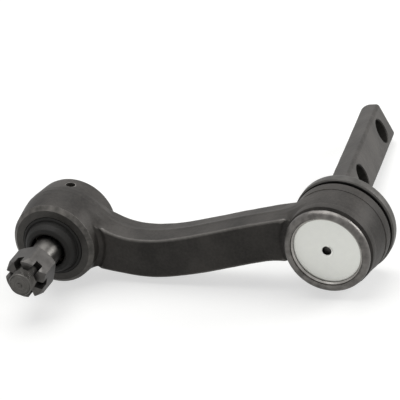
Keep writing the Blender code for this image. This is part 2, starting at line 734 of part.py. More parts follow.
def castle_nut():
    """Hexagon nut with a turned crown, which has a slot above each flat."""
    corner = NUT_FLATS / 2 / math.cos(math.pi / 6)
    crown = NUT_FLATS / 2 - CROWN_SET_IN
    shoulder = NUT_CROWN + CROWN_HEIGHT
    middle = (NUT_BASE + NUT_CROWN) / 2
    nut = cylinder("castle_nut", corner, NUT_HEIGHT, 6, parts)
    # The primitive's first corner comes to stand on -Z, half a flat from where SLOT_TURN puts the first slot.
    nut.rotation_euler = (-math.pi / 2, -SLOT_TURN, 0.0)
    nut.location.y = middle
    turning = turned(
        "castle_nut_turning",
        [
            (0.0, NUT_BASE + SEAT_GAP),
            (corner - NUT_CHAMFER, NUT_BASE + SEAT_GAP),
            (corner - NUT_CHAMFER, NUT_BASE),
            (corner + SEAT_GAP, NUT_BASE - NUT_CHAMFER),
            (corner + SEAT_GAP, shoulder + NUT_CHAMFER),
            (crown, shoulder),
            (crown, NUT_CROWN + CROWN_ROUND),
            (crown - CROWN_ROUND, NUT_CROWN),
            (crown - CROWN_ROUND, NUT_CROWN - SEAT_GAP),
            (0.0, NUT_CROWN - SEAT_GAP),
        ],
        SMALL_ROUND,
        cutters,
    )
    join(nut, turning, "INTERSECT")
    hole = THREAD_RADIUS + THREAD_GAP
    bore = turned(
        "castle_nut_bore",
        [
            (0.0, NUT_BASE + SEAT_GAP),
            (hole + NUT_COUNTERSINK, NUT_BASE + SEAT_GAP),
            (hole + NUT_COUNTERSINK, NUT_BASE),
            (hole, NUT_BASE - NUT_COUNTERSINK),
            (hole, NUT_CROWN - SEAT_GAP),
            (0.0, NUT_CROWN - SEAT_GAP),
        ],
        SMALL_ROUND,
        cutters,
    )
    join(nut, bore, "DIFFERENCE")
    for number in range(SLOT_BARS):
        slot = box(
            f"castle_nut_slot_{number + 1}",
            (-NUT_FLATS, NUT_CROWN - SLOT_DEPTH, -SLOT_WIDTH / 2),
            (NUT_FLATS, NUT_CROWN + SLOT_DEPTH, SLOT_WIDTH / 2),
            cutters,
        )
        slot.rotation_euler.y = -SLOT_TURN - number * math.pi / SLOT_BARS
        join(nut, slot, "DIFFERENCE")
    for step in nut.modifiers:
        if step.type == "BOOLEAN":
            step.object.location.x = EYE_X
    nut.location.x = EYE_X
    return nut


def boot_bend(side, crest):
    """(radius, y) points of a quarter ellipse, from the boot's straight side to the edge of its mouth."""
    start = EYE_FRONT - BOOT_SIDE
    end = BOOT_MOUTH_RADIUS + BOOT_WALL / 2
    points = []
    for step in range(BOOT_STEPS + 1):
        angle = math.pi / 2 * step / BOOT_STEPS
        points.append((end + (side - end) * math.cos(angle), start + (crest - start) * math.sin(angle)))
    return points


def dust_boot():
    """Open-mouthed rubber boot: its foot sits in the eye's groove and its mouth stands round the shank."""
    foot_end = EYE_FRONT + GROOVE_DEPTH - SEAT_GAP
    crest = EYE_FRONT - BOOT_HEIGHT
    profile = [(FOOT_OUTER, foot_end)]
    profile += boot_bend(FOOT_OUTER, crest)
    profile += [(BOOT_MOUTH_RADIUS, crest + BOOT_WALL / 2)]
    profile += reversed(boot_bend(FOOT_INNER, crest + BOOT_WALL))
    profile += [(FOOT_INNER, foot_end)]
    return turned("dust_boot", profile)


def boot_ring():
    """Steel ring that holds the boot's foot out against the groove."""
    return turned(
        "boot_retaining_ring",
        ring_profile(
            BOOT_RING_OUTER - BOOT_RING_WIDTH,
            BOOT_RING_OUTER,
            EYE_FRONT + SEAT_GAP,
            EYE_FRONT + GROOVE_DEPTH - SEAT_GAP,
        ),
    )


def lie_down():
    """Rests the assembly on eye, flange and tang, with the middle of its footprint at the origin.

    Each round turns it a little about X and Y, until its lowest points at the three places are level.
    """
    bpy.context.view_layer.update()
    graph = bpy.context.evaluated_depsgraph_get()
    corners = []
    for obj in parts.objects:
        if obj.type == "MESH":
            ready = obj.evaluated_get(graph)
            corners += [ready.matrix_world @ vertex.co for vertex in ready.data.vertices]
    eye = [corner for corner in corners if corner.x < EYE_X / 2]
    tang = [corner for corner in corners if corner.y > FLANGE_BACK + TANG_REACH / 2]
    flange = [corner for corner in corners if corner.x > EYE_X / 2 and corner.y < FLANGE_BACK + SEAT_GAP]
    turn = Matrix.Identity(3)
    for _ in range(LYING_ROUNDS):
        places = [[turn @ point for point in place] for place in (eye, flange, tang)]
        a, b, c = (min(place, key=lambda point: point.z) for place in places)
        level = (b - a).cross(c - a).normalized()
        turn = level.rotation_difference(Vector((0.0, 0.0, 1.0))).to_matrix() @ turn
    corners = [turn @ corner for corner in corners]
    low = Vector([min(corner[i] for corner in corners) for i in range(3)])
    high = Vector([max(corner[i] for corner in corners) for i in range(3)])
    bench.rotation_euler = turn.to_euler()
    bench.location = (-(low.x + high.x) / 2, -(low.y + high.y) / 2, -low.z)


for old in list(bpy.data.objects):
    bpy.data.objects.remove(old, do_unlink=True)

parts = new_collection("idler_arm_assembly")
cutters = new_collection("cutters")
forged_steel = new_material("forged_steel", (0.045, 0.042, 0.039), 0.5, 0.6)
plated_steel = new_material("plated_steel", (0.60, 0.61, 0.57), 0.4, 0.7)
machined_steel = new_material("machined_steel", (0.20, 0.20, 0.19), 0.4, 0.9)
spring_steel = new_material("spring_steel", (0.08, 0.08, 0.09), 0.45, 0.8)
bronze = new_material("bronze", (0.45, 0.27, 0.10), 0.45, 0.9)
nylon = new_material("nylon", (0.62, 0.60, 0.52), 0.55, 0.0)
rubber = new_material("rubber", (0.022, 0.022, 0.022), 0.7, 0.0)

bench = new_empty("bench", (0.0, 0.0, 0.0))
pivot = new_empty("pivot_axis", (0.0, 0.0, 0.0), bench)
ball_centre = new_empty("ball_centre", (EYE_X, BALL_Y, 0.0), bench)

fit(idler_arm(), bench, forged_steel)
fit(frame_bracket(), pivot, forged_steel)
pivot_pieces()
seat_pieces()
stud = fit(ball_stud(), ball_centre, machined_steel, 0.0, BALL_Y)
boot = fit(dust_boot(), ball_centre, rubber, 0.0, BALL_Y)
ring = fit(boot_ring(), bench, spring_steel)
ring.location.x = EYE_X
nut = fit(castle_nut(), ball_centre, machined_steel, EYE_X, BALL_Y)

for cutter in cutters.objects:
    if cutter.parent is None:
        cutter.parent = bench
lie_down()
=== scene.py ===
import itertools
import json
import math

import bmesh
import bpy
import numpy as np
from mathutils import Matrix, Vector


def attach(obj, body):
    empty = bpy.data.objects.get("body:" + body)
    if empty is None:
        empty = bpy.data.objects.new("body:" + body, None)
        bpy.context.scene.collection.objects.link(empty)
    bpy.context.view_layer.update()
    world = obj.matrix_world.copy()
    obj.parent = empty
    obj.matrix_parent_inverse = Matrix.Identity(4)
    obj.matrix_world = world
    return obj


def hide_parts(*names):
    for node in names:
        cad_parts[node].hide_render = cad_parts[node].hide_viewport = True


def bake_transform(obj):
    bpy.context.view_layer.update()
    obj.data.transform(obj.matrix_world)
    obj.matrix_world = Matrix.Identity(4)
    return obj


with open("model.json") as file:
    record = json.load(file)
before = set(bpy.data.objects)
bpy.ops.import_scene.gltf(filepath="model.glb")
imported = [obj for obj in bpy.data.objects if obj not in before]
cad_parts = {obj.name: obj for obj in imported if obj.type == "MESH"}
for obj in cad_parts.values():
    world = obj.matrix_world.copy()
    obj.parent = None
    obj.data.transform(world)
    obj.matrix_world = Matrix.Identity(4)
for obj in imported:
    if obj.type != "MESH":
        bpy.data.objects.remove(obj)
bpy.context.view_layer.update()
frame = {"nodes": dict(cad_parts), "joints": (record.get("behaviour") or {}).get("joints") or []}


# The layout. Every piece is drawn in millimetres as it is held for machining: Y runs along the pivot
# shaft with the cover plate's outer face at zero, X from the ball stud to the pivot, Z up the bar's height.

MM = 0.001
PIVOT_JOINT_Y = 11.9
EYE_X = -152.0
PARTING_Y = 13.25

joints = {joint["name"]: joint for joint in frame["joints"]}
pivot_line = Vector(joints["arm_pivot"]["axis"]).normalized()
arm_line = Vector(joints["stud_swing"]["axis"]).normalized()
height_line = arm_line.cross(pivot_line).normalized()
bench = Matrix((arm_line, pivot_line, height_line)).transposed().to_4x4()
bench.translation = Vector(joints["arm_pivot"]["pos_m"]) - pivot_line * PIVOT_JOINT_Y * MM
layout = bench @ Matrix.Scale(MM, 4)


# The photograph's view: a long lens from above, in front and a little to the right of the barrel.

CAMERA_PLACE = (539.9, -1224.2, 697.9)
CAMERA_RIGHT = (0.91738, 0.36025, -0.16919)
CAMERA_UP = (-0.02266, 0.47170, 0.88147)
CAMERA_BACK = (0.39736, -0.80481, 0.44089)

camera = bpy.data.objects.new("camera", bpy.data.cameras.new("camera"))
bpy.context.collection.objects.link(camera)
camera.data.sensor_width = 36.0
camera.data.lens = 270.0
camera.data.clip_end = 20.0
aim = Matrix((CAMERA_RIGHT, CAMERA_UP, CAMERA_BACK)).transposed().to_4x4()
aim.translation = Vector(CAMERA_PLACE) * MM
camera.matrix_world = bench @ aim
bpy.context.scene.camera = camera
bpy.context.scene.view_settings.view_transform = "Standard"


# The studio: a pale floor that keeps the part's shadow, a wide soft lamp above, a smaller one on the right
# for the barrel's side, and a white surround that only the camera and the reflections see at full strength.


def linear(hex_colour):
    """The linear colour of an sRGB hex value."""
    shares = [int(hex_colour[place : place + 2], 16) / 255 for place in (1, 3, 5)]
    return [s / 12.92 if s <= 0.04045 else ((s + 0.055) / 1.055) ** 2.4 for s in shares] + [1.0]


def emptied_tree(holder):
    """The node tree of a material or world, without its nodes."""
    holder.use_nodes = True
    holder.node_tree.nodes.clear()
    return holder.node_tree


def add(tree, kind, settings, links=None):
    """Adds a node, its settings by property or by input name or number, and links its inputs."""
    made = tree.nodes.new(kind)
    own = set(made.bl_rna.properties.keys())
    for key in settings.keys() & own:
        setattr(made, key, settings[key])
    for key in settings.keys() - own:
        made.inputs[key].default_value = settings[key]
    for key, output in (links or {}).items():
        tree.links.new(output, made.inputs[key])
    return made


FLOOR_SIZE = 6.0
FLOOR_COLOUR = "#BCBCBA"
FLOOR_LIFT = 0.62
MIRRORED_LIFT = 0.75
SURROUND_STRENGTH = 0.15

# Matt white paint that also glows towards the camera, and less so in reflections, so that the floor turns
# white and keeps the shadow.
floor_paint = bpy.data.materials.new("white_painted_floor")
tree = emptied_tree(floor_paint)
path = add(tree, "ShaderNodeLightPath", {})
seen = add(
    tree,
    "ShaderNodeMath",
    {"operation": "MULTIPLY_ADD", 1: MIRRORED_LIFT},
    {0: path.outputs["Is Glossy Ray"], 2: path.outputs["Is Camera Ray"]},
)
paint = add(tree, "ShaderNodeBsdfDiffuse", {"Color": linear(FLOOR_COLOUR)})
lift = add(tree, "ShaderNodeMath", {"operation": "MULTIPLY", 1: FLOOR_LIFT}, {0: seen.outputs[0]})
glow = add(tree, "ShaderNodeEmission", {}, {"Strength": lift.outputs[0]})
both = add(tree, "ShaderNodeAddShader", {}, {0: paint.outputs[0], 1: glow.outputs[0]})
add(tree, "ShaderNodeOutputMaterial", {}, {"Surface": both.outputs[0]})

floor_mesh = bpy.data.meshes.new("floor")
half = FLOOR_SIZE / 2
floor_mesh.from_pydata(
    [(-half, -half, 0.0), (half, -half, 0.0), (half, half, 0.0), (-half, half, 0.0)], [], [(0, 1, 2, 3)]
)
floor_mesh.materials.append(floor_paint)
floor = bpy.data.objects.new("floor", floor_mesh)
bpy.context.collection.objects.link(floor)

world = bpy.data.worlds.new("white_surround")
bpy.context.scene.world = world
tree = emptied_tree(world)
path = add(tree, "ShaderNodeLightPath", {})
seen = add(
    tree,
    "ShaderNodeMath",
    {"operation": "MAXIMUM"},
    {0: path.outputs["Is Camera Ray"], 1: path.outputs["Is Glossy Ray"]},
)
seen = add(
    tree,
    "ShaderNodeMath",
    {"operation": "MAXIMUM"},
    {0: seen.outputs[0], 1: path.outputs["Is Transmission Ray"]},
)
strength = add(
    tree,
    "ShaderNodeMapRange",
    {"To Min": SURROUND_STRENGTH, "To Max": 1.0},
    {"Value": seen.outputs[0]},
)
sky = add(tree, "ShaderNodeBackground", {}, {"Strength": strength.outputs[0]})
add(tree, "ShaderNodeOutputWorld", {}, {"Surface": sky.outputs[0]})

for name, place, size, power in (
    ("lamp_above", (-0.15, 0.25, 1.30), 1.5, 16.0),
    ("lamp_right", (1.10, 0.65, 0.60), 0.7, 10.0),
):
    lamp = bpy.data.objects.new(name, bpy.data.lights.new(name, "AREA"))
    bpy.context.collection.objects.link(lamp)
    lamp.data.size = size
    lamp.data.energy = power
    lamp.location = place
    lamp.rotation_euler = (-Vector(place)).to_track_quat("-Z", "Y").to_euler()


# The idler arm: one closed-die steel forging of barrel, bar and eye, dark with heat scale. Its ends are
# bored and faced, the barrel's lip is rolled over the cover plate, and it turns on the bracket's shaft.

BAR_PARTS = (
    ((0.0, 5.2), (-39.0, 5.2), (-73.9, -10.5), (-101.5, -10.5)),
    ((-101.5, -10.5), (-128.5, -10.5), (-137.0, 3.0), (EYE_X, 6.0)),
)
BAR_HALF_HEIGHT = 10.9
BAR_HALF_THICKNESS = 9.8
BAR_EDGE = 1.2
DIE_DRAFT = 1.1
FLARE_ABOVE = 0.4
FLARE_BELOW = 2.6
FLARE_LENGTH = 16.0
FLARE_ROUND_PIVOT = 23.5
FLARE_ROUND_STUD = 22.5
FLASH_HEIGHT = 0.18
FLASH_WIDTH = 1.1
BARREL_FRONT_Y = 2.8
BARREL_FRONT_RADIUS = 23.48
BARREL_TAPER = 0.1118
BARREL_MIDDLE_Y = 13.65
BARREL_HALF_LENGTH = 9.45
BARREL_EDGE = 0.3
EYE_BAND_RADIUS = 24.03
EYE_BAND_HALF_LENGTH = 3.0
EYE_TAPER = 0.1236
EYE_MIDDLE_Y = 12.9
EYE_HALF_LENGTH = 17.1
EYE_EDGE = 2.1
FILLET_AT_FACE = 0.5
FILLET_AT_PARTING = 7.0
CORNER_GROOVE = 0.9
CORNER_GROOVE_RADIUS = 25.4
CORNER_GROOVE_WIDTH = 1.3
CORNER_GROOVE_FADE = (7.0, 4.0)
FILLET_FADE = (BAR_HALF_THICKNESS, 3.8)
FLASH_FADE = (26.0, 32.0)
ARM_SWELLS = ((0.10, 5.0), (0.035, 1.7))
ARM_SWELL_FADE = (22.0, 26.0)
GREASE_HOLE_Y = 21.0
GREASE_HOLE_FLOOR = 15.4
GREASE_HOLE_TURN = math.radians(11.0)
ARM_SKIN_LOW = (-180.0, -6.0, -28.0)
ARM_SKIN_HIGH = (29.0, 32.5, 32.0)
ARM_SKIN_STEP = 0.65
WELD_REACH = 0.004
LARGE_ROUND = 160


def eased_edge(first, second, radius):
    """Distance to what two shapes share, its edge rounded."""
    outside = np.hypot(np.maximum(first + radius, 0), np.maximum(second + radius, 0))
    return np.minimum(np.maximum(first, second) + radius, 0) + outside - radius


def filleted(first, second, reach):
    """Distance to two joined shapes, with a fillet that starts this far from their crease."""
    share = np.clip(0.5 + 0.5 * (second - first) / reach, 0, 1)
    return second + (first - second) * share - reach * share * (1 - share)


def swells(points, length):
    """The slow unevenness of a hammered surface, between -1 and 1."""
    x, y, z = (points / length).T
    first = np.sin(x + 1.7 * np.sin(0.8 * z + 0.6 * y)) * np.sin(1.3 * y + 0.5 + np.sin(0.7 * x))
    second = np.sin(1.1 * z + 0.9 * np.sin(1.2 * x + 0.4) + 0.7 * y)
    return (first + second) / 2


def ramp(value, ends):
    """0 up to the first end, 1 from the second end on, and straight between."""
    return np.clip((value - ends[0]) / (ends[1] - ends[0]), 0, 1)


def skin(distance, low, high, step):
    """Points and four-sided faces of the surface where distance is zero, about one step wide."""
    axes = [np.arange(start, end + step, step) for start, end in zip(low, high)]
    counts = [len(axis) for axis in axes]
    grid = np.stack(np.meshgrid(*axes, indexing="ij"), axis=-1)
    value = distance(grid.reshape(-1, 3)).reshape(counts)
    cells = [count - 1 for count in counts]
    total = np.zeros(cells + [3])
    hits = np.zeros(cells)
    crossings = []
    for axis in range(3):
        near = tuple(slice(0, -1) if other == axis else slice(None) for other in range(3))
        far = tuple(slice(1, None) if other == axis else slice(None) for other in range(3))
        crossed = (value[near] < 0) != (value[far] < 0)
        places = np.zeros(crossed.shape + (3,))
        places[crossed] = grid[near][crossed]
        drop = value[near][crossed] - value[far][crossed]
        places[crossed, axis] += step * value[near][crossed] / drop
        across, along = [other for other in range(3) if other != axis]
        for i in (0, 1):
            for j in (0, 1):
                corner = [slice(None)] * 3
                corner[across] = slice(i, cells[across] + i)
                corner[along] = slice(j, cells[along] + j)
                total += places[tuple(corner)]
                hits += crossed[tuple(corner)]
        crossings.append((crossed, value[near] < 0))
    used = hits > 0
    number = np.full(cells, -1)
    number[used] = np.arange(np.count_nonzero(used))
    points = total[used] / hits[used][:, None]
    for _ in range(3):
        nudge = step / 10
        slope = np.stack(
            [
                (distance(points + side * nudge) - distance(points - side * nudge)) / (2 * nudge)
                for side in np.eye(3)
            ],
            axis=-1,
        )
        pull = np.clip(distance(points) / np.maximum((slope**2).sum(axis=1), 0.25), -step, step)
        points = points - slope * pull[:, None]
    faces = []
    for axis, (crossed, inside) in enumerate(crossings):
        across, along = (axis + 1) % 3, (axis + 2) % 3
        edges = np.argwhere(crossed)
        within = (edges[:, across] > 0) & (edges[:, along] > 0)
        within &= (edges[:, across] < cells[across]) & (edges[:, along] < cells[along])
        edges = edges[within]
        ring = []
        for i, j in ((1, 1), (0, 1), (0, 0), (1, 0)):
            cell = edges.copy()
            cell[:, across] -= i
            cell[:, along] -= j
            ring.append(number[tuple(cell.T)])
        ring = np.stack(ring, axis=-1)
        outward = inside[tuple(edges.T)]
        faces += [ring[outward], ring[~outward][:, ::-1]]
    return points, np.concatenate(faces)


def eased(corners, steps=4):
    """(radius, y) points of a profile: a corner with a third number is rounded to that radius."""
    points = []
    for number, corner in enumerate(corners):
        here = Vector(corner[:2])
        if len(corner) == 2:
            points.append(tuple(here))
            continue
        before = (Vector(corners[number - 1][:2]) - here).normalized()
        after = (Vector(corners[(number + 1) % len(corners)][:2]) - here).normalized()
        half = before.angle(after) / 2
        centre = here + (before + after).normalized() * corner[2] / math.sin(half)
        start = here + before * corner[2] / math.tan(half) - centre
        end = here + after * corner[2] / math.tan(half) - centre
        first = math.atan2(start.y, start.x)
        turn = (math.atan2(end.y, end.x) - first + math.pi) % (2 * math.pi) - math.pi
        for step in range(steps + 1):
            angle = first + turn * step / steps
            points.append((centre.x + corner[2] * math.cos(angle), centre.y + corner[2] * math.sin(angle)))
    return points


def solid(name, mesh_data, materials):
    """An object in layout millimetres, from (points, faces) or a bmesh."""
    mesh = bpy.data.meshes.new(name)
    if isinstance(mesh_data, bmesh.types.BMesh):
        mesh_data.to_mesh(mesh)
        mesh_data.free()
    else:
        mesh.from_pydata(mesh_data[0].tolist(), [], mesh_data[1].tolist())
    for material in materials:
        mesh.materials.append(material)
    made = bpy.data.objects.new(name, mesh)
    bpy.context.collection.objects.link(made)
    return made


def turned(name, profile, material, steps=128, x=0.0):
    """A closed solid or ring turned about a line along Y, from (radius, y) points in order."""
    bm = bmesh.new()
    rings = []
    for radius, y in profile:
        if radius < 1e-6:
            rings.append([bm.verts.new((x, y, 0.0))])
            continue
        angles = [2 * math.pi * step / steps for step in range(steps)]
        rings.append([bm.verts.new((x + radius * math.cos(a), y, radius * math.sin(a))) for a in angles])
    for first, second in zip(rings, rings[1:] + rings[:1]):
        for step in range(steps):
            after = (step + 1) % steps
            corners = [first[step % len(first)], first[after % len(first)]]
            corners += [second[after % len(second)], second[step % len(second)]]
            corners = list(dict.fromkeys(corners))
            if len(corners) > 2:
                bm.faces.new(corners)
    bmesh.ops.recalc_face_normals(bm, faces=bm.faces)
    return solid(name, bm, [material])


def worked(blank, *steps):
    """Joins tools to the blank or cuts them from it, each (operation, tool), and removes the tools."""
    for operation, tool in steps:
        modifier = blank.modifiers.new(tool.name, "BOOLEAN")
        modifier.operation = operation
        modifier.object = tool
        modifier.solver = "EXACT"
        modifier.material_mode = "TRANSFER"
    graph = bpy.context.evaluated_depsgraph_get()
    mesh = bpy.data.meshes.new_from_object(blank.evaluated_get(graph), depsgraph=graph)
    blank.modifiers.clear()
    blank.data = mesh
    for _, tool in steps:
        bpy.data.objects.remove(tool)
    return blank


def finished(piece, smooth_below=32.0):
    """Merges a piece's doubles, shades it smooth between sharp edges and places it in the frame."""
    bm = bmesh.new()
    bm.from_mesh(piece.data)
    bmesh.ops.remove_doubles(bm, verts=bm.verts, dist=WELD_REACH)
    bmesh.ops.dissolve_degenerate(bm, edges=bm.edges, dist=WELD_REACH)
    limit = math.radians(smooth_below)
    for face in bm.faces:
        face.smooth = True
    for edge in bm.edges:
        edge.smooth = len(edge.link_faces) == 2 and edge.calc_face_angle(0.0) < limit
    bm.to_mesh(piece.data)
    bm.free()
    piece.data.transform(layout)
    return piece


def bar_reach(x, z):
    """How far outside the bar's side a point of the XZ plane is, at the bar's front face."""
    shares = np.linspace(0, 1, 61)[:, None]
    line = []
    for ends in BAR_PARTS:
        first, second, third, fourth = (np.array(end) for end in ends)
        line.append(
            first * (1 - shares) ** 3
            + 3 * second * shares * (1 - shares) ** 2
            + 3 * third * shares**2 * (1 - shares)
            + fourth * shares**3
        )
    line = np.concatenate([line[0], line[1][1:]])
    best = np.full(x.shape, 1e9)
    reach = np.zeros(x.shape)
    for start, end in zip(line, line[1:]):
        along = end - start
        share = ((x - start[0]) * along[0] + (z - start[1]) * along[1]) / (along @ along)
        share = np.clip(share, 0, 1)
        near_x, near_z = start[0] + share * along[0], start[1] + share * along[1]
        away = np.hypot(x - near_x, z - near_z)
        from_barrel = np.hypot(near_x, near_z) - FLARE_ROUND_PIVOT
        from_eye = np.hypot(near_x - EYE_X, near_z) - FLARE_ROUND_STUD
        flare = np.clip(1 - np.minimum(from_barrel, from_eye) / FLARE_LENGTH, 0, 1) ** 2
        above = (z - near_z) > 0
        side = away - BAR_HALF_HEIGHT - flare * np.where(above, FLARE_ABOVE, FLARE_BELOW)
        closer = away < best
        best = np.where(closer, away, best)
        reach = np.where(closer, side, reach)
    return reach


# The bar's side is the same at every depth, so its distance is worked out once, on a flat table.
TABLE_STEP = 0.5
table_x = np.arange(-190.0, 40.0, TABLE_STEP)
table_z = np.arange(-45.0, 50.0, TABLE_STEP)
table = bar_reach(*np.meshgrid(table_x, table_z, indexing="ij"))


def arm_blank(points):
    """Distance to the forging before it is machined."""
    x, y, z = points.T
    across = np.clip((x - table_x[0]) / TABLE_STEP, 0, len(table_x) - 1.001)
    up = np.clip((z - table_z[0]) / TABLE_STEP, 0, len(table_z) - 1.001)
    i, j = across.astype(int), up.astype(int)
    s, t = across - i, up - j
    beside = (table[i, j] * (1 - s) + table[i + 1, j] * s) * (1 - t)
    beside += (table[i, j + 1] * (1 - s) + table[i + 1, j + 1] * s) * t
    from_parting = np.abs(y - PARTING_Y)
    fall = from_parting / BAR_HALF_THICKNESS
    bar = eased_edge(beside - DIE_DRAFT * (1 - fall), from_parting - BAR_HALF_THICKNESS, BAR_EDGE)
    from_pivot = np.hypot(x, z)
    barrel_side = from_pivot - BARREL_FRONT_RADIUS - BARREL_TAPER * (y - BARREL_FRONT_Y)
    barrel = eased_edge(barrel_side, np.abs(y - BARREL_MIDDLE_Y) - BARREL_HALF_LENGTH, BARREL_EDGE)
    from_stud = np.hypot(x - EYE_X, z)
    eye_side = from_stud - EYE_BAND_RADIUS + EYE_TAPER * np.maximum(from_parting - EYE_BAND_HALF_LENGTH, 0)
    eye = eased_edge(eye_side, np.abs(y - EYE_MIDDLE_Y) - EYE_HALF_LENGTH, EYE_EDGE)
    # The fillets are wide at the parting line and run out towards the bar's faces. A groove in the front
    # face sets the bar off from both ends.
    reach = FILLET_AT_FACE + (FILLET_AT_PARTING - FILLET_AT_FACE) * ramp(from_parting, FILLET_FADE)
    for away in (from_stud, from_pivot):
        share = np.exp(-(((away - CORNER_GROOVE_RADIUS) / CORNER_GROOVE_WIDTH) ** 2))
        bar += CORNER_GROOVE * share * ramp(y, CORNER_GROOVE_FADE)
    blank = filleted(filleted(bar, barrel, reach), eye, reach)
    # The barrel is turned, so the flash and the unevenness fade out towards it.
    flash = FLASH_HEIGHT * np.exp(-(((y - PARTING_Y) / FLASH_WIDTH) ** 2))
    blank -= flash * ramp(from_pivot, FLASH_FADE)
    unevenness = sum(height * swells(points, length) for height, length in ARM_SWELLS)
    return blank + unevenness * ramp(from_pivot, ARM_SWELL_FADE)


# Hot-forged medium-carbon steel, shot cleaned and left with its dark heat scale: nearly black brown-grey,
# soft sheen, fine pits, and another tone along sharp edges: paler on the arm, partly rubbed bare steel and
# partly a painted highlight, and darker on the bracket, a painted dark reflection.


def forged(name, dark, pale, edge, sheen):
    """Scaled forged steel in two tones, another tone along its edges for wear and painted light, its
    roughness from the sheen up.
    """
    made = bpy.data.materials.new(name)
    tree = emptied_tree(made)
    place = add(tree, "ShaderNodeTexCoord", {}).outputs["Object"]
    # Clouds of scale 18 mm across, grains 1.4 mm and pits 2.6 mm wide, coarser than real so that they show.
    clouds = add(tree, "ShaderNodeTexNoise", {"Scale": 1 / 0.018, "Detail": 3.0}, {"Vector": place})
    grains = add(tree, "ShaderNodeTexNoise", {"Scale": 1 / 0.0014, "Detail": 2.0}, {"Vector": place})
    mottle = add(
        tree,
        "ShaderNodeMath",
        {"operation": "MULTIPLY_ADD", 1: 0.45},
        {0: grains.outputs["Fac"], 2: clouds.outputs["Fac"]},
    )
    scale = add(
        tree,
        "ShaderNodeMapRange",
        {"From Min": 0.50, "From Max": 0.95},
        {"Value": mottle.outputs[0]},
    )
    tone = add(
        tree,
        "ShaderNodeMix",
        {"data_type": "RGBA", 6: linear(dark), 7: linear(pale)},
        {0: scale.outputs[0]},
    )
    # Sharp edges, found by pointiness, take the edge tone: rubbed wear and a painted highlight on the arm,
    # painted shade on the bracket.
    sharp = add(tree, "ShaderNodeNewGeometry", {}).outputs["Pointiness"]
    edge_wear_and_painted_light = add(
        tree, "ShaderNodeMapRange", {"From Min": 0.513, "From Max": 0.532, "To Max": 0.8}, {"Value": sharp}
    )
    colour = add(
        tree,
        "ShaderNodeMix",
        {"data_type": "RGBA", 7: linear(edge)},
        {0: edge_wear_and_painted_light.outputs[0], 6: tone.outputs[2]},
    )
    rough = add(
        tree,
        "ShaderNodeMapRange",
        {"To Min": sheen, "To Max": sheen + 0.18},
        {"Value": grains.outputs["Fac"]},
    )
    pits = add(tree, "ShaderNodeTexVoronoi", {"Scale": 1 / 0.0026}, {"Vector": place})
    depth = add(
        tree,
        "ShaderNodeMath",
        {"operation": "MULTIPLY_ADD", 1: 0.5},
        {0: pits.outputs["Distance"], 2: grains.outputs["Fac"]},
    )
    bump = add(
        tree, "ShaderNodeBump", {"Strength": 0.35, "Distance": 0.0003}, {"Height": depth.outputs[0]}
    )
    shader = add(
        tree,
        "ShaderNodeBsdfPrincipled",
        {"Metallic": 0.2, "Specular IOR Level": 0.2},
        {"Base Color": colour.outputs[2], "Roughness": rough.outputs[0], "Normal": bump.outputs[0]},
    )
    add(tree, "ShaderNodeOutputMaterial", {}, {"Surface": shader.outputs[0]})
    return made


# The arm as forged, its edges paler, partly rubbed bare and partly a painted highlight, and its turned neck
# and band, which are scaled all over.
scaled_forged_steel = forged("scaled_forged_steel", "#32302E", "#4D4A47", "#8A8783", 0.42)
scaled_turned_steel = forged("scaled_turned_steel", "#32302E", "#4D4A47", "#4D4A47", 0.42)


# Turned surfaces, bright or stained, with fine feed rings round their axis. The rings are drawn 0.7 mm
# apart, several times coarser than the real feed, so that they show.

FEED_RING_SPACING = 0.7
RINGS_AT_SCALE_ONE = 3.18    # how many the wave texture draws in a millimetre at a scale of 1
STAIN_WIDTH = 4.0


def turned_finish(name, colour, roughness, x, metallic=1.0, stain=0.35):
    """A turned surface: feed rings about the line along Y through this x in millimetres, and stains."""
    made = bpy.data.materials.new(name)
    tree = emptied_tree(made)
    place = add(tree, "ShaderNodeTexCoord", {}).outputs["Object"]
    centred = layout @ Matrix.Translation((x, 0.0, 0.0)) @ Matrix.Rotation(math.pi / 2, 4, "X")
    held = centred.inverted()
    spot = add(
        tree,
        "ShaderNodeMapping",
        {
            "Location": held.translation,
            "Rotation": held.to_euler(),
            "Scale": (1 / MM, 1 / MM, 1 / MM),
        },
        {"Vector": place},
    )
    rings = add(
        tree,
        "ShaderNodeTexWave",
        {
            "wave_type": "RINGS",
            "rings_direction": "Z",
            "Scale": 1 / FEED_RING_SPACING / RINGS_AT_SCALE_ONE,
            "Distortion": 0.6,
            "Detail": 1.0,
        },
        {"Vector": spot.outputs[0]},
    )
    smears = add(
        tree, "ShaderNodeTexNoise", {"Scale": 1 / STAIN_WIDTH, "Detail": 4.0}, {"Vector": spot.outputs[0]}
    )
    shade = add(
        tree,
        "ShaderNodeMapRange",
        {"From Min": 0.3, "From Max": 0.7, "To Min": 1.05 - stain, "To Max": 1.05},
        {"Value": smears.outputs["Fac"]},
    )
    tint = add(
        tree,
        "ShaderNodeMix",
        {"data_type": "RGBA", "blend_type": "MULTIPLY", 0: 1.0, 6: linear(colour)},
        {7: shade.outputs[0]},
    )
    rough = add(
        tree,
        "ShaderNodeMapRange",
        {"To Min": roughness - 0.06, "To Max": roughness + 0.10},
        {"Value": smears.outputs["Fac"]},
    )
    bump = add(
        tree, "ShaderNodeBump", {"Strength": 0.25, "Distance": 0.00005}, {"Height": rings.outputs["Fac"]}
    )
    shader = add(
        tree,
        "ShaderNodeBsdfPrincipled",
        {"Metallic": metallic},
        {"Base Color": tint.outputs[2], "Roughness": rough.outputs[0], "Normal": bump.outputs[0]},
    )
    add(tree, "ShaderNodeOutputMaterial", {}, {"Surface": shader.outputs[0]})
    return made


# The cold rolled lip with stains left in it, a painted highlight on the ring of its inner edge, the dull
# bores, and the eye's turned face with its chamfer, which is rubbed paler.
rolled_lip_steel = turned_finish("rolled_lip_steel", "#7B7875", 0.34, 0.0, 0.9, 0.55)
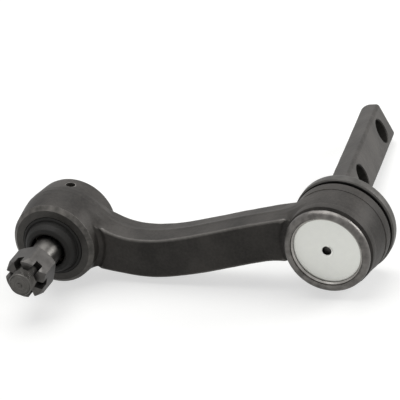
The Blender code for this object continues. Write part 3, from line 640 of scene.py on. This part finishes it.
# The pale ring at the lip's inner edge is a painted highlight.
lip_ring_painted_highlight = turned_finish("lip_ring_painted_highlight", "#A9A6A2", 0.28, 0.0, 1.0)
bored_steel = turned_finish("bored_steel", "#6E6C69", 0.45, 0.0, 0.8)
faced_eye_steel = turned_finish("faced_eye_steel", "#4E4C49", 0.48, EYE_X, 0.6)
rubbed_chamfer_steel = turned_finish("rubbed_chamfer_steel", "#6C6965", 0.46, EYE_X, 0.6, 0.7)

arm = solid(
    "arm_forging",
    skin(arm_blank, ARM_SKIN_LOW, ARM_SKIN_HIGH, ARM_SKIN_STEP),
    [scaled_forged_steel],
)

# The machining tools' profiles, as (radius, y) and a third number where a corner is rounded.
neck = eased([(0.0, -1.2), (21.9, -1.2), (21.9, 1.9, 0.4), (23.6, 2.82, 0.4), (24.0, 6.4, 0.1), (0.0, 6.4)])
lip_edge = eased([(17.93, -0.3), (17.93, -0.6, 0.1), (18.6, -1.35, 0.15), (18.95, -1.3, 0.1), (19.2, -0.8)])
lip_edge.append((19.2, -0.3))
lip = eased(
    [
        (18.9, -0.3),
        (19.0, -0.9, 0.06),
        (19.25, -2.0, 0.2),
        (19.95, -2.6, 0.3),
        (22.98, -2.6, 2.85),
        (22.98, 0.55, 0.2),
        (21.5, 0.55),
        (20.5, -0.3),
    ]
)
band = eased([(0.0, 17.9), (24.9, 17.9), (25.5, 18.3, 0.15), (25.98, 23.5, 0.4), (0.0, 23.5)])
pivot_bore = [(0.0, 24.5), (15.18, 24.5), (15.18, 12.0), (18.78, 12.0), (18.78, -3.2), (0.0, -3.2)]
eye_face = [(0.0, -3.5), (27.0, -3.5), (27.0, -9.0), (0.0, -9.0)]
eye_chamfer = [(19.9, -4.07), (26.5, 2.53), (27.5, 2.53), (27.5, -4.07)]
# From the back: the opening, the plate's groove, the ball's chamber, the mouth and the boot's groove.
eye_bore = [(0.0, 30.6), (15.52, 30.6), (15.52, 28.2), (17.27, 28.2), (17.27, 25.8), (16.32, 25.8)]
eye_bore += [(16.32, 1.0), (11.70, 1.0), (12.85, -3.3), (13.60, -3.3), (13.60, -1.8), (16.65, -1.8)]
eye_bore += [(16.65, -4.2), (0.0, -4.2)]
grease_drill = [(0.0, 0.0), (2.5, 0.0), (2.5, 8.2), (3.6, 9.3), (0.0, 9.3)]
grease_hole = turned("grease_hole", grease_drill, bored_steel)
grease_hole.matrix_world = (
    Matrix.Translation((EYE_X, GREASE_HOLE_Y, 0.0))
    @ Matrix.Rotation(GREASE_HOLE_TURN, 4, "Y")
    @ Matrix.Translation((0.0, 0.0, GREASE_HOLE_FLOOR))
    @ Matrix.Rotation(math.pi / 2, 4, "X")
)
bpy.context.view_layer.update()
worked(
    arm,
    ("UNION", turned("neck", neck, scaled_turned_steel, LARGE_ROUND)),
    ("UNION", turned("band", band, scaled_turned_steel, LARGE_ROUND)),
    ("DIFFERENCE", turned("pivot_bore", pivot_bore, bored_steel, LARGE_ROUND)),
    ("UNION", turned("lip", lip, rolled_lip_steel, LARGE_ROUND)),
    ("UNION", turned("lip_edge", lip_edge, lip_ring_painted_highlight, LARGE_ROUND)),
    ("DIFFERENCE", turned("eye_face", eye_face, faced_eye_steel, LARGE_ROUND, EYE_X)),
    ("DIFFERENCE", turned("eye_chamfer", eye_chamfer, rubbed_chamfer_steel, LARGE_ROUND, EYE_X)),
    ("DIFFERENCE", turned("eye_bore", eye_bore, faced_eye_steel, LARGE_ROUND, EYE_X)),
    ("DIFFERENCE", grease_hole),
)
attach(finished(arm), "arm")
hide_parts("idler_arm")


# The frame bracket: a second steel forging of tang, shield flange and pivot shaft, paler than the arm, with
# painted shade along its rounded edges for the dark surroundings they reflect. Two bolts through the tang
# hold it to the frame rail.

TANG_FOOT = (-7.562, 31.6, -2.903)
TANG_WIDTH_LINE = (0.35837, 0.0, -0.93358)
TANG_ALONG_LINE = (-0.16212, 0.98481, -0.06223)
TANG_FACE_LINE = (0.91940, 0.17365, 0.35292)
TANG_HALF_WIDTH = 10.1
TANG_HALF_THICKNESS = 6.2
TANG_REACH = 135.3
END_SLANT = 11.0
TIP_ROUND = 6.4
TANG_EDGE = 2.0
ROOT_GROWTH = 4.4
ROOT_LENGTH = 9.0
ROOT_SINK = 3.0
ROOT_FILLET = 8.0
FLANGE_MIDDLE_Y = 28.55
FLANGE_BLANK_RADIUS = 25.4
FLANGE_BLANK_HALF = 2.7
FLANGE_BLANK_FRONT = 26.0
FLANGE_BLANK_EDGE = 0.6
FLANGE_BACK = 31.6
BRACKET_SWELLS = ((0.09, 6.0), (0.03, 2.0))
BRACKET_SWELL_FADE = (FLANGE_BACK + 0.3, FLANGE_BACK + 3.3)
HOLE_ROUND = 72
BOLT_HOLES = (117.0, 55.9)
BRACKET_SKIN_STEP = 0.6

tang_axes = np.array((TANG_WIDTH_LINE, TANG_ALONG_LINE, TANG_FACE_LINE))


def bracket_blank(points):
    """Distance to the tang and the flange before they are machined."""
    wide, along, thick = tang_axes @ (points - np.array(TANG_FOOT)).T
    side, face = np.abs(wide) - TANG_HALF_WIDTH, np.abs(thick) - TANG_HALF_THICKNESS
    growth = ROOT_GROWTH * np.clip(1 - along / ROOT_LENGTH, 0, 1.3) ** 2
    slant = math.atan2(END_SLANT, 2 * TANG_HALF_THICKNESS)
    end = (along - TANG_REACH) * math.cos(slant) - (TANG_HALF_THICKNESS - thick) * math.sin(slant)
    tip = eased_edge(end, -thick - TANG_HALF_THICKNESS, TIP_ROUND)
    nose = eased_edge(tip, thick - TANG_HALF_THICKNESS, TANG_EDGE)
    slab = np.where(along > TANG_REACH / 2, nose, np.maximum(face - growth, -ROOT_SINK - along))
    tang = eased_edge(slab, side - growth, TANG_EDGE)
    x, y, z = points.T
    flange_side = np.hypot(x, z) - FLANGE_BLANK_RADIUS
    flange = eased_edge(flange_side, np.abs(y - FLANGE_MIDDLE_Y) - FLANGE_BLANK_HALF, FLANGE_BLANK_EDGE)
    unevenness = sum(height * swells(points, length) for height, length in BRACKET_SWELLS)
    blank = filleted(tang, flange, ROOT_FILLET) + unevenness * ramp(y, BRACKET_SWELL_FADE)
    # The fillet stops short of the flange's turned front, which faces the seal.
    return np.maximum(blank, FLANGE_BLANK_FRONT - y)


# The tang as forged, its edges darkened as painted shade, the flange and shaft turned and stained, and the
# dark walls of the drilled holes.
bare_forged_steel = forged("bare_forged_steel", "#3F3D3B", "#5A5754", "#2B2A28", 0.40)
turned_flange_steel = turned_finish("turned_flange_steel", "#5A5855", 0.42, 0.0, 0.6)
drilled_steel = turned_finish("drilled_steel", "#3A3835", 0.50, 0.0, 0.7)

# The bracket is skinned on a grid that reaches round the tang and the flange.
corners = [
    np.array(TANG_FOOT) + np.array(sides) @ tang_axes
    for sides in itertools.product((-15.0, 15.0), (-6.0, TANG_REACH + END_SLANT), (-11.0, 11.0))
]
low = np.minimum(np.min(corners, axis=0), (-28.0, 25.0, -28.0))
high = np.maximum(np.max(corners, axis=0), (28.0, 33.0, 28.0))
bracket = solid("bracket_forging", skin(bracket_blank, low, high, BRACKET_SKIN_STEP), [bare_forged_steel])
flange_and_shaft = eased(
    [
        (0.0, FLANGE_BACK),
        (26.88, FLANGE_BACK, 1.4),
        (26.88, 26.2, 0.4),
        (26.2, 25.5, 0.2),
        (11.0, 25.5, 0.6),
        (11.0, 10.6, 0.4),
        (8.0, 10.6),
        (8.0, 3.0),
        (7.0, 2.2),
        (0.0, 2.2),
    ]
)
tang_place = Matrix(tang_axes.tolist()).transposed().to_4x4()
tang_place.translation = TANG_FOOT
hole_profile = [(0.0, -7.0), (7.75, -7.0), (6.85, -5.7), (6.85, 5.7), (7.75, 7.0), (0.0, 7.0)]
through_tang = Matrix.Rotation(math.pi / 2, 4, "X")
holes = []
for number, along in enumerate(BOLT_HOLES):
    hole = turned(f"bolt_hole_{number + 1}", hole_profile, drilled_steel, HOLE_ROUND)
    hole.matrix_world = tang_place @ Matrix.Translation((0.0, along, 0.0)) @ through_tang
    holes.append(("DIFFERENCE", hole))
bpy.context.view_layer.update()
worked(bracket, ("UNION", turned("flange", flange_and_shaft, turned_flange_steel, LARGE_ROUND)), *holes)
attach(finished(bracket), "bracket")
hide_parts("frame_bracket")


# The barrel's cover plate: a pressed steel disc, zinc plated, punched with a 5 mm hole whose burr still
# stands, and held under the rolled lip.

# Dull zinc plating, the shining torn rim of the punched hole, and its unplated wall.
zinc_plate = turned_finish("zinc_plated_sheet", "#E8E9E4", 0.38, 0.0, 0.8, 0.04)
torn_zinc = turned_finish("torn_zinc_edge", "#F2F2EE", 0.30, 0.0)
punched_steel = turned_finish("punched_sheet_edge", "#262523", 0.6, 0.0, 0.5)
plate = eased([(0.0, 0.1), (18.63, 0.1, 0.2), (18.63, 1.6, 0.2), (0.0, 1.6)])
cover = turned("cover_plate", plate, zinc_plate, LARGE_ROUND)
# The burr stands a little to one side of the hole, so it is wider below.
burr_ring = eased([(2.2, 0.8), (2.2, -0.35), (2.9, -0.35, 0.2), (3.2, 0.2), (3.2, 0.8)])
burr = turned("burr", burr_ring, torn_zinc, 48)
burr.location = (0.1, 0.0, -0.55)
punch = turned("punch", [(0.0, -1.0), (2.5, -1.0), (2.5, 2.6), (0.0, 2.6)], punched_steel, HOLE_ROUND)
bpy.context.view_layer.update()
worked(cover, ("UNION", burr), ("DIFFERENCE", punch))
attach(finished(cover), "arm")
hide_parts("barrel_cover_plate")


# The ball stud: one steel forging, its tapered shank ground for the rod's bore and its end threaded for the
# nut. A Geometry Nodes tree cuts the thread, and the lathe's centre mark is still in the end.

THREAD_OUTER = 6.35
THREAD_PITCH = 1.25
THREAD_DEPTH = 0.77
THREAD_FRONT = -45.0
THREAD_BACK = -20.9
BALL_RADIUS = 12.0
BALL_Y = 11.5
NECK_RADIUS = 6.9
STUD_END = -46.0
STUD_ROUND = 96


def new_tree(name, values):
    """A Geometry Nodes tree with these inputs besides Geometry and Steel, and its input node's outputs."""
    group = bpy.data.node_groups.new(name, "GeometryNodeTree")
    kinds = {"Geometry": "NodeSocketGeometry", **dict.fromkeys(values, "NodeSocketFloat")}
    kinds["Steel"] = "NodeSocketMaterial"
    for label, kind in kinds.items():
        made = group.interface.new_socket(label, in_out="INPUT", socket_type=kind)
        if label in values:
            made.default_value = values[label]
    group.interface.new_socket("Geometry", in_out="OUTPUT", socket_type="NodeSocketGeometry")
    return group, add(group, "NodeGroupInput", {}).outputs


def shaped_by(piece, group, values):
    """Sets the tree's named inputs, applies it to the piece as a plain mesh and removes it."""
    modifier = piece.modifiers.new(group.name, "NODES")
    modifier.node_group = group
    for item in group.interface.items_tree:
        if item.in_out == "INPUT" and item.name in values:
            modifier[item.identifier] = values[item.name]
    graph = bpy.context.evaluated_depsgraph_get()
    mesh = bpy.data.meshes.new_from_object(piece.evaluated_get(graph), depsgraph=graph)
    piece.modifiers.clear()
    piece.data = mesh
    return piece


# The shank is ground and oiled, and the end keeps the bright face that the lathe left.
ground_steel = turned_finish("ground_stud_steel", "#62605D", 0.34, EYE_X, 0.9)
centred_steel = turned_finish("centred_end_steel", "#8C8986", 0.34, EYE_X, 0.9)

thread_values = {"Radius": THREAD_OUTER, "Depth": THREAD_DEPTH, "Pitch": THREAD_PITCH}
thread_values |= {"Front": THREAD_FRONT, "Back": THREAD_BACK}
thread_tree, given = new_tree("cut_screw_thread", thread_values)
# A flat sheet, about one row for each eighth of a pitch, is rolled up: its X is the turn, its Y the depth.
sheet = add(
    thread_tree,
    "GeometryNodeMeshGrid",
    {"Size X": 1.0, "Size Y": 1.0, "Vertices X": 73, "Vertices Y": 160},
)
flat_place = add(thread_tree, "GeometryNodeInputPosition", {})
spot = add(thread_tree, "ShaderNodeSeparateXYZ", {}, {0: flat_place.outputs[0]})
turn = add(
    thread_tree, "ShaderNodeMath", {"operation": "MULTIPLY", 1: 2 * math.pi}, {0: spot.outputs["X"]}
)
depth = add(
    thread_tree,
    "ShaderNodeMapRange",
    {"From Min": -0.5, "From Max": 0.5},
    {"Value": spot.outputs["Y"], "To Min": given["Back"], "To Max": given["Front"]},
)
turns = add(
    thread_tree,
    "ShaderNodeMath",
    {"operation": "DIVIDE"},
    {0: depth.outputs[0], 1: given["Pitch"]},
)
phase = add(thread_tree, "ShaderNodeMath", {"operation": "ADD"}, {0: turns.outputs[0], 1: spot.outputs["X"]})
flank = add(
    thread_tree, "ShaderNodeMath", {"operation": "PINGPONG", 1: 0.5}, {0: phase.outputs[0]}
)
# The crest is flat for an eighth of the pitch and the root for a fifth of it.
tooth = add(
    thread_tree,
    "ShaderNodeMapRange",
    {"From Min": 0.06, "From Max": 0.40},
    {"Value": flank.outputs[0]},
)
cut = add(
    thread_tree, "ShaderNodeMath", {"operation": "MULTIPLY"}, {0: tooth.outputs[0], 1: given["Depth"]}
)
radius = add(
    thread_tree, "ShaderNodeMath", {"operation": "SUBTRACT"}, {0: given["Radius"], 1: cut.outputs[0]}
)
# The ends close to the axis, just inside the turned shank and the turned point.
edge_share = add(thread_tree, "ShaderNodeMath", {"operation": "ABSOLUTE"}, {0: spot.outputs["Y"]})
open_end = add(
    thread_tree, "ShaderNodeMath", {"operation": "LESS_THAN", 1: 0.4995}, {0: edge_share.outputs[0]}
)
closed = add(
    thread_tree, "ShaderNodeMath", {"operation": "MULTIPLY"}, {0: radius.outputs[0], 1: open_end.outputs[0]}
)
sine = add(thread_tree, "ShaderNodeMath", {"operation": "SINE"}, {0: turn.outputs[0]})
cosine = add(thread_tree, "ShaderNodeMath", {"operation": "COSINE"}, {0: turn.outputs[0]})
wide = add(
    thread_tree,
    "ShaderNodeMath",
    {"operation": "MULTIPLY_ADD", 2: EYE_X},
    {0: cosine.outputs[0], 1: closed.outputs[0]},
)
high_up = add(
    thread_tree, "ShaderNodeMath", {"operation": "MULTIPLY"}, {0: sine.outputs[0], 1: closed.outputs[0]}
)
rolled = add(
    thread_tree,
    "ShaderNodeCombineXYZ",
    {},
    {"X": wide.outputs[0], "Y": depth.outputs[0], "Z": high_up.outputs[0]},
)
screw = add(
    thread_tree,
    "GeometryNodeSetPosition",
    {},
    {"Geometry": sheet.outputs["Mesh"], "Position": rolled.outputs[0]},
)
seamed = add(
    thread_tree, "GeometryNodeMergeByDistance", {"Distance": 0.001}, {"Geometry": screw.outputs[0]}
)
joined = add(thread_tree, "GeometryNodeJoinGeometry", {}, {})
thread_tree.links.new(seamed.outputs[0], joined.inputs[0])
thread_tree.links.new(given["Geometry"], joined.inputs[0])
real = add(thread_tree, "GeometryNodeRealizeInstances", {}, {0: joined.outputs[0]})
painted = add(
    thread_tree, "GeometryNodeSetMaterial", {}, {"Geometry": real.outputs[0], "Material": given["Steel"]}
)
add(thread_tree, "NodeGroupOutput", {}, {0: painted.outputs[0]})

ball = [(0.0, BALL_Y + BALL_RADIUS)]
for step in range(1, 25):
    angle = (math.pi - math.asin(NECK_RADIUS / BALL_RADIUS)) * step / 24
    ball.append((BALL_RADIUS * math.sin(angle), BALL_Y + BALL_RADIUS * math.cos(angle)))
taper = [(8.0, -3.6, 0.8), (8.0, -4.5, 0.3), (6.9, -20.4, 0.3), (5.5, -21.0), (0.0, -21.0)]
shank = ball + eased([(NECK_RADIUS, -0.6, 1.2)] + taper)
# The end: a chamfer, three rings that the lathe left, and the centre mark.
point = [(0.0, -44.0), (5.5, -44.0)] + eased([(5.5, -44.0), (6.3, -44.9, 0.1), (5.5, STUD_END, 0.2)])[1:]
for groove in (4.9, 4.0, 3.1):
    point += [(groove, STUD_END), (groove - 0.2, STUD_END + 0.15), (groove - 0.45, STUD_END)]
point += [(1.7, STUD_END), (0.5, -44.9), (0.0, -44.8)]
stud = turned("ball_stud_forging", shank, ground_steel, STUD_ROUND, EYE_X)
worked(stud, ("UNION", turned("stud_point", point, centred_steel, STUD_ROUND, EYE_X)))
shaped_by(stud, thread_tree, {"Steel": ground_steel})
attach(finished(stud), "stud")
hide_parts("ball_stud")


# The castle nut: steel, milled from hexagon bar with a turned front and blackened, screwed onto the stud. A
# Geometry Nodes tree cuts its six slots for the cotter pin, which the photograph's nut doesn't have yet.

NUT_FLATS = 20.6
NUT_BORE = 6.45
NUT_BASE = -24.0
NUT_CHAMFER_START = -36.2
NUT_CROWN = -40.0
BROKEN_EDGE = 0.22
SLOT_WIDTH = 4.0
SLOT_DEPTH = 5.6
SLOT_TURN = math.radians(41.0)

# Blackened after milling, its edges no brighter than its faces.
nut_steel = turned_finish("blackened_nut_steel", "#545250", 0.36, EYE_X, 0.9)

nut_values = {"Flats": NUT_FLATS, "Slot Width": SLOT_WIDTH, "Slot Depth": SLOT_DEPTH}
nut_values |= {"Bore": NUT_BORE, "Turn": SLOT_TURN}
nut_tree, given = new_tree("mill_castle_nut", nut_values)
corner_radius = add(
    nut_tree,
    "ShaderNodeMath",
    {"operation": "MULTIPLY", 1: 0.5 / math.cos(math.pi / 6)},
    {0: given["Flats"]},
)
bar_stock = add(
    nut_tree,
    "GeometryNodeMeshCylinder",
    {"Vertices": 6, "Depth": 100.0},
    {"Radius": corner_radius.outputs[0]},
)
# The hexagon's first flat faces the first slot.
half_flat = add(nut_tree, "ShaderNodeMath", {"operation": "ADD", 1: math.pi / 6}, {0: given["Turn"]})
stock_turn = add(nut_tree, "ShaderNodeCombineXYZ", {}, {"Z": half_flat.outputs[0]})
stock = add(
    nut_tree,
    "GeometryNodeTransform",
    {},
    {"Geometry": bar_stock.outputs["Mesh"], "Rotation": stock_turn.outputs[0]},
)
hexed = add(nut_tree, "GeometryNodeMeshBoolean", {"operation": "INTERSECT", "solver": "EXACT"}, {})
nut_tree.links.new(given["Geometry"], hexed.inputs["Mesh 2"])
nut_tree.links.new(stock.outputs[0], hexed.inputs["Mesh 2"])
# Three bars across the crown, a sixth of a turn apart, cut the six slots.
three = add(
    nut_tree,
    "GeometryNodeMeshLine",
    {"Count": 3, "Offset": (0.0, 0.0, 0.0), "Start Location": (0.0, 0.0, -NUT_CROWN)},
)
slot_size = add(nut_tree, "ShaderNodeMath", {"operation": "MULTIPLY", 1: 2.0}, {0: given["Slot Depth"]})
slot_box = add(
    nut_tree, "ShaderNodeCombineXYZ", {"X": 60.0}, {"Y": given["Slot Width"], "Z": slot_size.outputs[0]}
)
cutter = add(nut_tree, "GeometryNodeMeshCube", {}, {"Size": slot_box.outputs[0]})
bar_number = add(nut_tree, "GeometryNodeInputIndex", {})
third = add(
    nut_tree,
    "ShaderNodeMath",
    {"operation": "MULTIPLY_ADD", 1: math.pi / 3},
    {0: bar_number.outputs[0], 2: given["Turn"]},
)
bar_turn = add(nut_tree, "ShaderNodeCombineXYZ", {}, {"Z": third.outputs[0]})
bars = add(
    nut_tree,
    "GeometryNodeInstanceOnPoints",
    {},
    {"Points": three.outputs["Mesh"], "Instance": cutter.outputs["Mesh"], "Rotation": bar_turn.outputs[0]},
)
real_bars = add(nut_tree, "GeometryNodeRealizeInstances", {}, {0: bars.outputs[0]})
drill = add(
    nut_tree, "GeometryNodeMeshCylinder", {"Vertices": 72, "Depth": 100.0}, {"Radius": given["Bore"]}
)
milled = add(
    nut_tree,
    "GeometryNodeMeshBoolean",
    {"operation": "DIFFERENCE", "solver": "EXACT", "Self Intersection": True},
    {"Mesh 1": hexed.outputs[0]},
)
nut_tree.links.new(real_bars.outputs[0], milled.inputs["Mesh 2"])
nut_tree.links.new(drill.outputs["Mesh"], milled.inputs["Mesh 2"])
real = add(nut_tree, "GeometryNodeRealizeInstances", {}, {0: milled.outputs[0]})
painted = add(
    nut_tree, "GeometryNodeSetMaterial", {}, {"Geometry": real.outputs[0], "Material": given["Steel"]}
)
add(nut_tree, "NodeGroupOutput", {}, {0: painted.outputs[0]})

nut_corner = NUT_FLATS / 2 / math.cos(math.pi / 6)
nut_turning = eased(
    [
        (0.0, NUT_BASE),
        (nut_corner - 1.2, NUT_BASE),
        (nut_corner + 0.3, NUT_BASE - 1.2),
        (nut_corner + 0.3, NUT_CHAMFER_START),
        (10.4, NUT_CROWN + 0.4, 0.5),
        (9.8, NUT_CROWN, 0.3),
        (0.0, NUT_CROWN),
    ]
)
nut = turned("nut_blank", nut_turning, nut_steel, 144)
# The tree works about Z, so the blank is stood up for it and laid back after.
nut.data.transform(Matrix.Rotation(-math.pi / 2, 4, "X"))
shaped_by(nut, nut_tree, {"Steel": nut_steel})
nut.data.transform(Matrix.Rotation(math.pi / 2, 4, "X"))
nut.data.transform(Matrix.Translation((EYE_X, 0.0, 0.0)))
edges = nut.modifiers.new("broken_edges", "BEVEL")
edges.width = BROKEN_EDGE
edges.segments = 2
edges.limit_method = "ANGLE"
edges.angle_limit = math.radians(35)
worked(nut)
nut.name = "castle_nut_milled"
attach(finished(nut), "stud")
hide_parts("castle_nut")


# The dust boot: moulded black rubber, its foot pressed into the eye's groove and its open mouth round the
# shank.


def moulded(name, dark, pale, shine):
    """Moulded rubber: near black, dull, with a faint paler bloom in patches about 4 mm wide."""
    made = bpy.data.materials.new(name)
    tree = emptied_tree(made)
    place = add(tree, "ShaderNodeTexCoord", {}).outputs["Object"]
    bloom = add(tree, "ShaderNodeTexNoise", {"Scale": 1 / 0.004, "Detail": 3.0}, {"Vector": place})
    tone = add(
        tree,
        "ShaderNodeMix",
        {"data_type": "RGBA", 6: linear(dark), 7: linear(pale)},
        {0: bloom.outputs["Fac"]},
    )
    rough = add(tree, "ShaderNodeMapRange", {"To Min": 0.5, "To Max": 0.75}, {"Value": bloom.outputs["Fac"]})
    bump = add(
        tree, "ShaderNodeBump", {"Strength": 0.2, "Distance": 0.0001}, {"Height": bloom.outputs["Fac"]}
    )
    shader = add(
        tree,
        "ShaderNodeBsdfPrincipled",
        {"Specular IOR Level": shine},
        {"Base Color": tone.outputs[2], "Roughness": rough.outputs[0], "Normal": bump.outputs[0]},
    )
    add(tree, "ShaderNodeOutputMaterial", {}, {"Surface": shader.outputs[0]})
    return made


rubber = moulded("moulded_black_rubber", "#191817", "#282725", 0.3)

boot_profile = eased(
    [
        (14.65, -2.1, 0.2),
        (14.65, -3.3, 0.3),
        (13.5, -3.35, 0.4),
        (13.0, -5.6, 1.5),
        (11.4, -7.6, 1.2),
        (9.6, -8.2, 0.3),
        (9.2, -9.4, 0.6),
        (10.4, -10.1, 0.6),
        (12.4, -9.1, 1.6),
        (13.9, -6.8, 2.0),
        (14.3, -4.2, 0.5),
        (14.7, -4.1, 0.2),
        (15.2, -4.4, 0.4),
        (16.35, -3.9, 0.5),
        (16.35, -2.1, 0.2),
    ]
)
boot = turned("rubber_boot", boot_profile, rubber, 128, EYE_X)
finished(boot, smooth_below=60)
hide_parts("dust_boot")
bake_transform(boot)


# The pivot's dust seal: a ring moulded from black rubber, held between the barrel and the flange. Its thin
# lip lies over the flange's front, and ring and lip are darkened to near black as painted shade: the
# shadowed gap behind the barrel.

# Black rubber made darker and duller than the boot's, as painted shade for the gap.
seal_rubber_and_painted_shade = moulded("seal_rubber_and_painted_shade", "#0C0C0B", "#151413", 0.1)
seal_body = [(14.5, 25.3), (14.5, 23.9), (23.0, 23.9), (23.2, 24.1), (23.2, 24.9)]
# The lip reaches over the flange's front to lay painted shade there.
painted_shade_lip = [(25.9, 25.0), (26.0, 25.1), (26.0, 25.3)]
seal = turned("dust_seal_ring", seal_body + painted_shade_lip, seal_rubber_and_painted_shade, 128)
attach(finished(seal), "arm")
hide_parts("pivot_dust_seal")


# The pieces inside, seen only through the cover's hole and from behind, keep their meshes: greased steel
# washer, springs, nut and ring, turned bronze bushes and nylon ball seats, and the eye's pressed plate.

greased_steel = turned_finish("greased_steel", "#2A2926", 0.35, 0.0, 0.6)
bush_bronze = turned_finish("turned_bronze", "#8A6A3C", 0.45, 0.0)
socket_plate_steel = turned_finish("pressed_socket_plate", "#5E5C59", 0.42, EYE_X, 0.8)
seat_nylon = turned_finish("turned_nylon", "#CFC8B4", 0.55, EYE_X, 0.0)
for finish, nodes in (
    (greased_steel, ("thrust_washer", "pivot_disc_spring", "pivot_retaining_nut")),
    (greased_steel, ("seat_spring", "boot_retaining_ring")),
    (bush_bronze, ("pivot_bushing_inner", "pivot_bushing_outer")),
    (seat_nylon, ("ball_seat_front", "ball_seat_back")),
    (socket_plate_steel, ("socket_cover_plate",)),
):
    for node in nodes:
        for slot in frame["nodes"][node].material_slots:
            slot.material = finish
